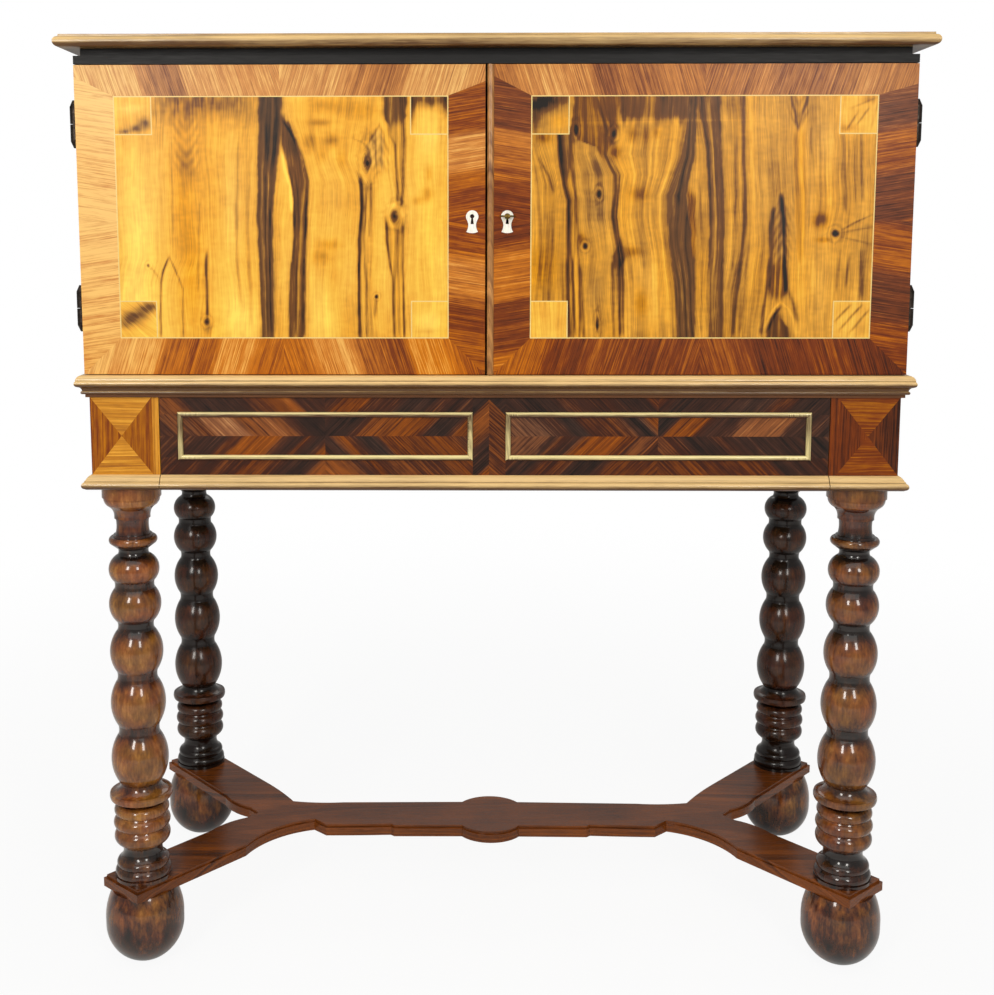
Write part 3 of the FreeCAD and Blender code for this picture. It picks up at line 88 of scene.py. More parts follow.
class CabinetColours(bpy.types.PropertyGroup):
    """Colours of the woods, the bone and the metals."""

    veneer_black: colour("Heartwood", "Darkest streaks of the door veneer", "#160D06")
    veneer_brown: colour("Veneer brown", "Brown streaks of the door veneer", "#70441C")
    veneer_gold: colour("Veneer gold", "Plain ground of the door veneer", "#E9A840")
    veneer_pale: colour("Veneer pale", "Sapwood of the door veneer", "#FFDA5C")
    band_dark: colour("Band dark", "Dark stripes of the cross-grained borders", "#2A1107")
    band_red: colour("Band red", "Reddish brown of the cross-grained borders", "#7C401C")
    band_amber: colour("Band amber", "Amber of the cross-grained borders", "#CC8236")
    band_tan: colour("Band tan", "Faded tan of the upper borders", "#F3BF68")
    string: colour("Stringing", "Boxwood lines round the fields", "#F6D98C")
    moulding: colour("Mouldings", "Straw-gold mouldings and top board", "#E9C485")
    moulding_dark: colour("Moulding grain", "Darker lines in the mouldings", "#5C3C1C")
    frame_pale: colour("Drawer frames", "Cream mouldings on the drawer", "#F4E2A0")
    ebonised: colour("Ebonised", "Black stained cornice", "#0E0B0A")
    turned_worn: colour("Turnings worn", "Palest places of the turnings", "#C88A42")
    turned_gold: colour("Turnings gold", "Golden brown of the bulbs", "#87521F")
    turned_brown: colour("Turnings brown", "Brown between bulbs and hollows", "#4A2813")
    # the darkest stop of the turnings also carries the painted shade of the hollows
    turned_dark: colour("Turnings dark", "Dark polish in the hollows of the turnings", "#160C07")
    case: colour("Case sides", "Walnut of the sides, posts and rails", "#7A4A24")
    carcass: colour("Carcass", "Plain poplar inside", "#B99468")
    bone: colour("Bone", "Escutcheons", "#FFFBEF")
    iron: colour("Iron", "Hinges, lock, bolts and screws", "#4A4039")
    brass: colour("Brass", "Key", "#8A7038")


class CabinetSizes(bpy.types.PropertyGroup):
    """Sizes of the veneer work."""

    slat: bpy.props.FloatProperty(
        name="Stripe", description="Width of one stripe of the cross-grained borders",
        default=4.6 * MM, min=1 * MM, max=20 * MM, subtype="DISTANCE", unit="LENGTH")
    chevron: bpy.props.FloatProperty(
        name="Chevron", description="Width of one strip of the drawer's herringbone",
        default=7 * MM, min=2 * MM, max=40 * MM, subtype="DISTANCE", unit="LENGTH")
    figure_step: bpy.props.FloatProperty(
        name="Figure step", description="Spacing of the points that carry the fields' figure",
        default=1.5 * MM, min=1 * MM, max=10 * MM, subtype="DISTANCE", unit="LENGTH")


class CabinetStage(bpy.types.PropertyGroup):
    """Camera, lamps and floor."""

    turn: bpy.props.FloatProperty(
        name="Turn", description="How far the camera looks to the right of straight ahead",
        default=math.radians(-0.748), subtype="ANGLE", unit="ROTATION")
    tilt: bpy.props.FloatProperty(
        name="Tilt", description="How far the camera looks down",
        default=math.radians(7.46), subtype="ANGLE", unit="ROTATION")
    roll: bpy.props.FloatProperty(
        name="Roll", description="How far the camera leans",
        default=math.radians(0.041), subtype="ANGLE", unit="ROTATION")
    floor: colour("Floor", "Pale floor", "#F4F4F3")
    lamp: bpy.props.FloatProperty(
        name="Lamp", description="Strength of the large lamp in watts",
        default=18, min=0, max=1000)


# Materials


def add(tree, kind, inputs=None, stops=(), **settings):
    """Adds a node, sets it up, fills or links its inputs and gives it back."""
    node = tree.nodes.new(kind)
    for name, value in settings.items():
        setattr(node, name, value)
    for name, value in (inputs or {}).items():
        if isinstance(value, bpy.types.NodeSocket):
            tree.links.new(value, node.inputs[name])
        else:
            node.inputs[name].default_value = value
    for number, (place, colour) in enumerate(stops):
        marks = node.color_ramp.elements
        mark = marks[number] if number < 2 else marks.new(place)
        mark.position = place
        mark.color = (*colour, 1) if len(colour) == 3 else colour
    return node


def started(name):
    """A new material with an empty tree."""
    material = bpy.data.materials.new(name)
    material.use_nodes = True
    material.node_tree.nodes.clear()
    return material, material.node_tree


def finished(tree, surface):
    """Joins the last shader of a material to its output."""
    add(tree, "ShaderNodeOutputMaterial", {"Surface": surface.outputs[0]})


def dress(material, *names):
    """Puts a material into every slot of some of the CAD's nodes."""
    for name in names:
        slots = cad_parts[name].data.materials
        if not slots:
            slots.append(material)
        for place in range(len(slots)):
            slots[place] = material


def along_grain(tree, way):
    """Object coordinates turned so that their X runs along the grain."""
    place = add(tree, "ShaderNodeTexCoord").outputs["Object"]
    x, y, z = add(tree, "ShaderNodeSeparateXYZ", {0: place}).outputs
    if way == "x":
        return place
    if way == "y":
        return add(tree, "ShaderNodeCombineXYZ", {0: y, 1: x, 2: z}).outputs[0]
    if way == "z":
        return add(tree, "ShaderNodeCombineXYZ", {0: z, 1: x, 2: y}).outputs[0]
    wide = add(tree, "ShaderNodeMath", {0: x}, operation="ABSOLUTE").outputs[0]
    if way == "mitred":
        # the mitres of the front corners lie where |x| + y is the same all along
        corner = (POST_HIGH.x + PANEL_LOW.y + 4) * MM
        past = add(tree, "ShaderNodeMath", {0: wide, 1: y}, operation="ADD").outputs[0]
        side = add(tree, "ShaderNodeMath", {0: past, 1: corner}, operation="GREATER_THAN").outputs[0]
        turned = add(tree, "ShaderNodeCombineXYZ", {0: y, 1: x, 2: z}).outputs[0]
    else:
        # ends of the drawer's two frames, from each frame's own middle
        middle = (PANEL_LOW.x + PANEL_HIGH.x) / 2 * MM
        quarter = (PANEL_HIGH.x - PANEL_LOW.x) / 4 * MM
        half = (PANEL_HIGH.z - PANEL_LOW.z) / 2 * MM
        far = add(tree, "ShaderNodeMath", {0: wide, 1: quarter}, operation="SUBTRACT").outputs[0]
        reach = add(tree, "ShaderNodeMath", {0: far}, operation="ABSOLUTE").outputs[0]
        side = add(tree, "ShaderNodeMath", {0: reach, 1: quarter - half + middle},
                   operation="GREATER_THAN").outputs[0]
        turned = add(tree, "ShaderNodeCombineXYZ", {0: z, 1: x, 2: y}).outputs[0]
    return add(tree, "ShaderNodeMix", {0: side, 4: place, 5: turned}, data_type="VECTOR").outputs[1]


def wood(name, way, dark, pale, ring=3.0, pore=0.5, polish=0.35, coat=0.0, contrast=1.0, relief=0.05,
         heart=(0.0, 0.02, 0.31), painted_top_light=0.0, painted_height_shade=None):
    """Solid wood: growth rings seen along the grain, pores as fine dashes, and slow drifts of colour.

    ring is the spacing of the rings and pore the width of a pore, in millimetres. The top-light setting
    paints light from above: faces that look up are made paler and those that look down darker. The height
    setting (foot, head, below, above) paints shade by height: it changes the tone below the foot and above
    the head."""
    material, tree = started(name)
    place = along_grain(tree, way)
    # the log's heart lies well outside the piece and runs a little askew, which opens the rings out
    log = add(tree, "ShaderNodeMapping", {"Vector": place, "Location": heart, "Rotation": (0, 0.05, 0.04),
                                          "Scale": (0.12, 1, 1)}).outputs[0]
    sway = add(tree, "ShaderNodeTexNoise", {"Vector": log, "Scale": 9, "Detail": 3}).outputs["Color"]
    bent = add(tree, "ShaderNodeVectorMath", {0: sway, 1: (0.03,) * 3, 2: log},
               operation="MULTIPLY_ADD").outputs[0]
    girth = add(tree, "ShaderNodeVectorMath", {0: bent}, operation="LENGTH").outputs["Value"]
    rings = add(tree, "ShaderNodeTexNoise", {"W": girth, "Scale": 1 / (ring * MM), "Detail": 3,
                                             "Roughness": 0.65}, noise_dimensions="1D").outputs[0]
    fine = add(tree, "ShaderNodeMapping", {"Vector": place, "Scale": (0.05, 1, 1)}).outputs[0]
    pores = add(tree, "ShaderNodeTexNoise", {"Vector": fine, "Scale": 0.35 / (pore * MM), "Detail": 2,
                                             "Roughness": 0.6}).outputs[0]
    drift = add(tree, "ShaderNodeTexNoise", {"Vector": place, "Scale": 7, "Detail": 4}).outputs[0]
    mixed = add(tree, "ShaderNodeMath", {0: rings, 1: 0.6, 2: -0.3}, operation="MULTIPLY_ADD").outputs[0]
    mixed = add(tree, "ShaderNodeMath", {0: pores, 1: 0.45, 2: mixed}, operation="MULTIPLY_ADD").outputs[0]
    mixed = add(tree, "ShaderNodeMath", {0: drift, 1: 0.5, 2: mixed}, operation="MULTIPLY_ADD").outputs[0]
    # painted light from above: faces that look up are painted paler and those that look down darker
    if painted_top_light:
        facing = add(tree, "ShaderNodeNewGeometry").outputs["Normal"]
        up = add(tree, "ShaderNodeMapRange", {"Value": add(tree, "ShaderNodeSeparateXYZ",
                                                           {0: facing}).outputs[2],
                                              "From Min": -0.75, "From Max": 0.55, "To Min": -1.7 * painted_top_light,
                                              "To Max": painted_top_light}).outputs[0]
        mixed = add(tree, "ShaderNodeMath", {0: mixed, 1: up}, operation="ADD").outputs[0]
    # painted shade by height: the tone changes below the foot and above the head
    if painted_height_shade:
        height = add(tree, "ShaderNodeSeparateXYZ", {0: add(tree, "ShaderNodeTexCoord").outputs["Object"]})
        climb = add(tree, "ShaderNodeMapRange", {"Value": height.outputs[2], "From Min": painted_height_shade[0] * MM,
                                                 "From Max": painted_height_shade[1] * MM, "To Min": painted_height_shade[2],
                                                 "To Max": painted_height_shade[3]}).outputs[0]
        mixed = add(tree, "ShaderNodeMath", {0: mixed, 1: climb}, operation="ADD").outputs[0]
    tone = add(tree, "ShaderNodeMapRange", {"Value": mixed, "From Min": 0.475 - 0.28 / contrast,
                                            "From Max": 0.475 + 0.28 / contrast}).outputs[0]
    ramp = add(tree, "ShaderNodeValToRGB", {0: tone}, [(0, dark), (1, pale)]).outputs[0]
    gloss = add(tree, "ShaderNodeMapRange", {"Value": pores, "From Min": 0.3, "From Max": 0.7,
                                             "To Min": polish + 0.08, "To Max": polish - 0.04}).outputs[0]
    bump = add(tree, "ShaderNodeBump", {"Height": mixed, "Strength": relief,
                                        "Distance": 0.4 * MM}).outputs[0]
    surface = add(tree, "ShaderNodeBsdfPrincipled", {
        "Base Color": ramp, "Roughness": gloss, "IOR": 1.5, "Specular IOR Level": 0.3, "Coat Weight": coat,
        "Coat Roughness": 0.12, "Normal": bump})
    finished(tree, surface)
    return material


def turnery(name, shades, lift=0.0, blotched=0.95, coat=0.9):
    """Walnut turned on a lathe: the hollows are darker, partly dark polish and partly painted shade, and
    the bulbs are rubbed golden.

    shades run from the darkest hollows to the most rubbed places; lift makes all of it paler."""
    material, tree = started(name)
    place = add(tree, "ShaderNodeTexCoord").outputs["Object"]
    x, y, z = add(tree, "ShaderNodeSeparateXYZ", {0: place}).outputs
    across = [add(tree, "ShaderNodeMath", {0: add(tree, "ShaderNodeMath", {0: side},
                                                  operation="ABSOLUTE").outputs[0], 1: axis * MM},
                  operation="SUBTRACT").outputs[0] for side, axis in ((x, LEG_AXIS.x), (y, LEG_AXIS.y))]
    spoke = add(tree, "ShaderNodeCombineXYZ", {0: across[0], 1: across[1]}).outputs[0]
    radius = add(tree, "ShaderNodeVectorMath", {0: spoke}, operation="LENGTH").outputs["Value"]
    # darker where the radius is small, in the hollows, as dark polish and painted shade, and paler on the
    # bulbs as wear
    wear_and_shade = add(tree, "ShaderNodeMapRange", {"Value": radius, "From Min": 21 * MM, "From Max": 33 * MM,
                                            "To Min": lift, "To Max": 0.62 + lift},
               interpolation_type="SMOOTHSTEP").outputs[0]
    # the slender neck under the cup is kept as pale as the bulbs, out of the hollows' painted shade
    neck = add(tree, "ShaderNodeMapRange", {"Value": z, "From Min": NECK_FOOT * MM,
                                            "From Max": (NECK_FOOT + 8) * MM, "To Max": 0.36}).outputs[0]
    wear_and_shade = add(tree, "ShaderNodeMath", {0: wear_and_shade, 1: neck}, operation="ADD").outputs[0]
    # and the cup over it only half as much; the turnings grow darker from 185 mm down to 130 mm, and
    # painted shade darkens the feet towards the floor
    cup = add(tree, "ShaderNodeMapRange", {"Value": z, "From Min": (NECK_FOOT + 30) * MM,
                                           "From Max": (NECK_FOOT + 38) * MM, "To Max": -0.34}).outputs[0]
    # painted shade: the feet darken towards the floor
    painted_floor_shade = add(tree, "ShaderNodeMapRange", {"Value": z, "From Min": 4 * MM, "From Max": 70 * MM,
                                            "To Min": -0.34, "To Max": 0}).outputs[0]
    polish = add(tree, "ShaderNodeMapRange", {"Value": z, "From Min": 130 * MM, "From Max": 185 * MM,
                                              "To Min": -0.36, "To Max": 0}).outputs[0]
    wear_and_shade = add(tree, "ShaderNodeMath", {0: wear_and_shade, 1: cup}, operation="ADD").outputs[0]
    wear_and_shade = add(tree, "ShaderNodeMath", {0: wear_and_shade, 1: polish}, operation="ADD").outputs[0]
    wear_and_shade = add(tree, "ShaderNodeMath", {0: wear_and_shade, 1: painted_floor_shade}, operation="ADD").outputs[0]
    # blotches of polish some 15 mm wide and twice as high, and grain 3 mm apart drawn out up the leg
    high = add(tree, "ShaderNodeMapping", {"Vector": place, "Scale": (1, 1, 0.5)}).outputs[0]
    blotches = add(tree, "ShaderNodeTexNoise", {"Vector": high, "Scale": 62, "Detail": 6,
                                                "Roughness": 0.68}).outputs[0]
    drawn = add(tree, "ShaderNodeMapping", {"Vector": place, "Scale": (1, 1, 0.10)}).outputs[0]
    grain = add(tree, "ShaderNodeTexNoise", {"Vector": drawn, "Scale": 330, "Detail": 3}).outputs[0]
    wear_and_shade = add(tree, "ShaderNodeMath", {0: wear_and_shade, 1: 0.5 * (0.95 - blotched)}, operation="ADD").outputs[0]
    tone = add(tree, "ShaderNodeMath", {0: blotches, 1: blotched, 2: wear_and_shade},
               operation="MULTIPLY_ADD").outputs[0]
    tone = add(tree, "ShaderNodeMath", {0: grain, 1: 0.42, 2: tone}, operation="MULTIPLY_ADD").outputs[0]
    tone = add(tree, "ShaderNodeMath", {0: tone, 1: 0.70}, operation="SUBTRACT").outputs[0]
    ramp = add(tree, "ShaderNodeValToRGB", {0: tone}, list(zip((0.0, 0.3, 0.62, 1.0), shades))).outputs[0]
    # redder and yellower patches some 60 mm long
    patches = add(tree, "ShaderNodeTexNoise", {"Vector": place, "Scale": 30, "Detail": 3}).outputs[0]
    turn = add(tree, "ShaderNodeMapRange", {"Value": patches, "From Min": 0.35, "From Max": 0.65,
                                            "To Min": 0.487, "To Max": 0.508}).outputs[0]
    hue = add(tree, "ShaderNodeHueSaturation", {"Color": ramp, "Hue": turn}).outputs[0]
    bump = add(tree, "ShaderNodeBump", {"Height": grain, "Strength": 0.04, "Distance": 0.3 * MM}).outputs[0]
    surface = add(tree, "ShaderNodeBsdfPrincipled", {
        "Base Color": hue, "Roughness": 0.26, "IOR": 1.5, "Specular IOR Level": 0.22, "Coat Weight": coat,
        "Coat Roughness": 0.05 if coat > 0.6 else 0.16, "Normal": bump})
    finished(tree, surface)
    return material


def veneer(name, colours, stripe=1.4, fibre=0.35, polish=0.36, spread=0.34, faded=0.78):
    """Sawn veneer, scraped and waxed: each leaf brings its own grain direction and tone.

    The leaf's points carry two vectors: grain (along, across, leaf number, in metres) and tint
    (tone, redness, strength of the stripes)."""
    material, tree = started(name)
    grain = add(tree, "ShaderNodeAttribute", attribute_name="grain").outputs["Vector"]
    tint = add(tree, "ShaderNodeAttribute", attribute_name="tint").outputs["Vector"]
    level, red, strength = add(tree, "ShaderNodeSeparateXYZ", {0: tint}).outputs
    broad = add(tree, "ShaderNodeMapping", {"Vector": grain, "Scale": (0.018, 1, 37)}).outputs[0]
    stripes = add(tree, "ShaderNodeTexNoise", {"Vector": broad, "Scale": 0.5 / (stripe * MM), "Detail": 4,
                                               "Roughness": 0.6}).outputs[0]
    narrow = add(tree, "ShaderNodeMapping", {"Vector": grain, "Scale": (0.04, 1, 53)}).outputs[0]
    fibres = add(tree, "ShaderNodeTexNoise", {"Vector": narrow, "Scale": 0.35 / (fibre * MM), "Detail": 2,
                                              "Roughness": 0.5}).outputs[0]
    clouds = add(tree, "ShaderNodeTexNoise", {"Vector": grain, "Scale": 55, "Detail": 4}).outputs[0]
    lines = add(tree, "ShaderNodeMath", {0: stripes, 1: 0.5}, operation="SUBTRACT").outputs[0]
    lines = add(tree, "ShaderNodeMath", {0: lines, 1: strength}, operation="MULTIPLY").outputs[0]
    tone = add(tree, "ShaderNodeMath", {0: lines, 1: 2.2 * spread, 2: level},
               operation="MULTIPLY_ADD").outputs[0]
    tone = add(tree, "ShaderNodeMath", {0: fibres, 1: spread, 2: tone}, operation="MULTIPLY_ADD").outputs[0]
    tone = add(tree, "ShaderNodeMath", {0: clouds, 1: 0.7 * spread, 2: tone},
               operation="MULTIPLY_ADD").outputs[0]
    tone = add(tree, "ShaderNodeMath", {0: tone, 1: 0.85 * spread}, operation="SUBTRACT").outputs[0]
    places = (0.0, 0.35, 0.7, 1.0)
    shade = add(tree, "ShaderNodeValToRGB", {0: tone}, list(zip(places, colours))).outputs[0]
    # faded leaves are greyer and yellower, fresh ones redder
    turn = add(tree, "ShaderNodeMapRange", {"Value": red, "To Min": 0.504, "To Max": 0.492}).outputs[0]
    fresh = add(tree, "ShaderNodeMapRange", {"Value": red, "To Min": faded, "To Max": 1.08}).outputs[0]
    hue = add(tree, "ShaderNodeHueSaturation", {"Color": shade, "Hue": turn,
                                                "Saturation": fresh}).outputs[0]
    gloss = add(tree, "ShaderNodeMapRange", {"Value": fibres, "From Min": 0.3, "From Max": 0.7,
                                             "To Min": polish + 0.06, "To Max": polish - 0.05}).outputs[0]
    bump = add(tree, "ShaderNodeBump", {"Height": stripes, "Strength": 0.06,
                                        "Distance": 0.3 * MM}).outputs[0]
    surface = add(tree, "ShaderNodeBsdfPrincipled", {
        "Base Color": hue, "Roughness": gloss, "IOR": 1.5, "Specular IOR Level": 0.25, "Normal": bump})
    finished(tree, surface)
    return material


def metal(name, pale, dark, rough, metallic, scale):
    """Worked metal with patches of wear, in spots scale millimetres wide."""
    material, tree = started(name)
    place = add(tree, "ShaderNodeTexCoord").outputs["Object"]
    patches = add(tree, "ShaderNodeTexNoise", {"Vector": place, "Scale": 1 / (scale * MM), "Detail": 5,
                                               "Roughness": 0.6}).outputs[0]
    shade = add(tree, "ShaderNodeValToRGB", {0: patches}, [(0.35, dark), (0.65, pale)]).outputs[0]
    gloss = add(tree, "ShaderNodeMapRange", {"Value": patches, "From Min": 0.3, "From Max": 0.7,
                                             "To Min": rough + 0.12, "To Max": rough - 0.06}).outputs[0]
    bump = add(tree, "ShaderNodeBump", {"Height": patches, "Strength": 0.2,
                                        "Distance": 0.2 * MM}).outputs[0]
    surface = add(tree, "ShaderNodeBsdfPrincipled", {
        "Base Color": shade, "Roughness": gloss, "Metallic": metallic, "Normal": bump})
    finished(tree, surface)
    return material


# Marquetry


def kept(outline, side, place):
    """The part of a convex outline where side . point is at least place."""
    result = []
    for one, other in zip(outline, outline[1:] + outline[:1]):
        before = one[0] * side[0] + one[1] * side[1] - place
        after = other[0] * side[0] + other[1] * side[1] - place
        if before >= 0:
            result.append(one)
        if before * after < 0:
            share = before / (before - after)
            result.append((one[0] + share * (other[0] - one[0]), one[1] + share * (other[1] - one[1])))
    return result


def area(outline):
    """Signed area of an outline, positive when it runs counter-clockwise."""
    return sum(a[0] * b[1] - b[0] * a[1] for a, b in zip(outline, outline[1:] + outline[:1])) / 2


class Marquetry:
    """Leaves of veneer laid edge to edge on one upright face, in millimetres."""

    def __init__(self, front, back, seed):
        self.front, self.back = front, back
        self.points, self.faces, self.grain, self.tint = [], [], [], []
        self.chance = random.Random(seed)
        self.windows = []

    def leaf(self, outline, way, tone):
        """One leaf: a convex outline, its grain's direction, and tone(x, z) giving its tint."""
        pieces = [outline]
        for low_x, low_z, high_x, high_z in self.windows:
            left = []
            for piece in pieces:
                left.append(kept(piece, (-1, 0), -low_x))
                left.append(kept(piece, (1, 0), high_x))
                middle = kept(kept(piece, (1, 0), low_x), (-1, 0), -high_x)
                left.append(kept(middle, (0, -1), -low_z) if middle else [])
                left.append(kept(middle, (0, 1), high_z) if middle else [])
            pieces = left
        number = self.chance.random()
        for piece in pieces:
            if len(piece) < 3 or abs(area(piece)) < 0.05:
                continue
            if area(piece) < 0:
                piece = piece[::-1]
            start, count = len(self.points), len(piece)
            self.points += [(x, self.front, z) for x, z in piece] + [(x, self.back, z) for x, z in piece]
            rims = [(n, n + count, (n + 1) % count + count, (n + 1) % count) for n in range(count)]
            for face in [tuple(range(count))] + rims:
                self.faces.append([start + corner for corner in face])
                for corner in face:
                    x, z = piece[corner % count]
                    self.grain.append(((x * way[0] + z * way[1]) * MM, (x * way[1] - z * way[0]) * MM,
                                       number))
                    self.tint.append(tone(x, z))

    def stripes(self, region, line, way, stops, width, strength, jitter=0.05):
        """Fills a region with leaves side by side along a line, all with their grain one way.

        stops are (place along the line's own main axis, tone, redness)."""
        (ax, az), (bx, bz) = line
        size = math.hypot(*way)
        way = (way[0] / size, way[1] / size)
        across = (way[1], -way[0])
        main = 0 if abs(bx - ax) >= abs(bz - az) else 1
        first = ax * across[0] + az * across[1]
        last = bx * across[0] + bz * across[1]
        values = np.array(sorted(stops))

        def place_on_line(x, z):
            share = (x * across[0] + z * across[1] - first) / (last - first)
            return (ax + share * (bx - ax), az + share * (bz - az))[main]

        long = abs(last - first)
        count = max(1, round(long / width))
        edges = [n / count + self.chance.uniform(-0.25, 0.25) / count for n in range(1, count)]
        edges = [-1e3] + edges + [1e3]
        side = across if last > first else (-across[0], -across[1])
        begin = first if last > first else -first
        for low, high in zip(edges, edges[1:]):
            piece = kept(region, side, begin + low * long)
            if len(piece) > 2:
                piece = kept(piece, (-side[0], -side[1]), -(begin + high * long))
            if len(piece) < 3:
                continue
            shift = self.chance.uniform(-jitter, jitter)

            def tone(x, z, shift=shift):
                place = place_on_line(x, z)
                return (float(np.interp(place, values[:, 0], values[:, 1])) + shift,
                        float(np.interp(place, values[:, 0], values[:, 2])), strength)

            self.leaf(piece, way, tone)

    def built(self, name, material, slot, body, *nodes):
        """Makes one piece of all leaves laid so far."""
        mesh = bpy.data.meshes.new(name)
        mesh.from_pydata([(x * MM, y * MM, z * MM) for x, y, z in self.points], [], self.faces)
        for title, values in (("grain", self.grain), ("tint", self.tint)):
            layer = mesh.attributes.new(title, "FLOAT_VECTOR", "CORNER")
            layer.data.foreach_set("vector", np.array(values, np.float32).ravel())
        return placed(name, mesh, material, slot, body, *nodes)


def placed(name, mesh, material, slot, body, *nodes):
    """Links a new piece, finishes it and lets it ride on its body instead of some nodes."""
    mesh.materials.append(material)
    piece = bpy.data.objects.new(name, mesh)
    bpy.context.scene.collection.objects.link(piece)
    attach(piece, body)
    if nodes:
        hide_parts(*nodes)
    return piece
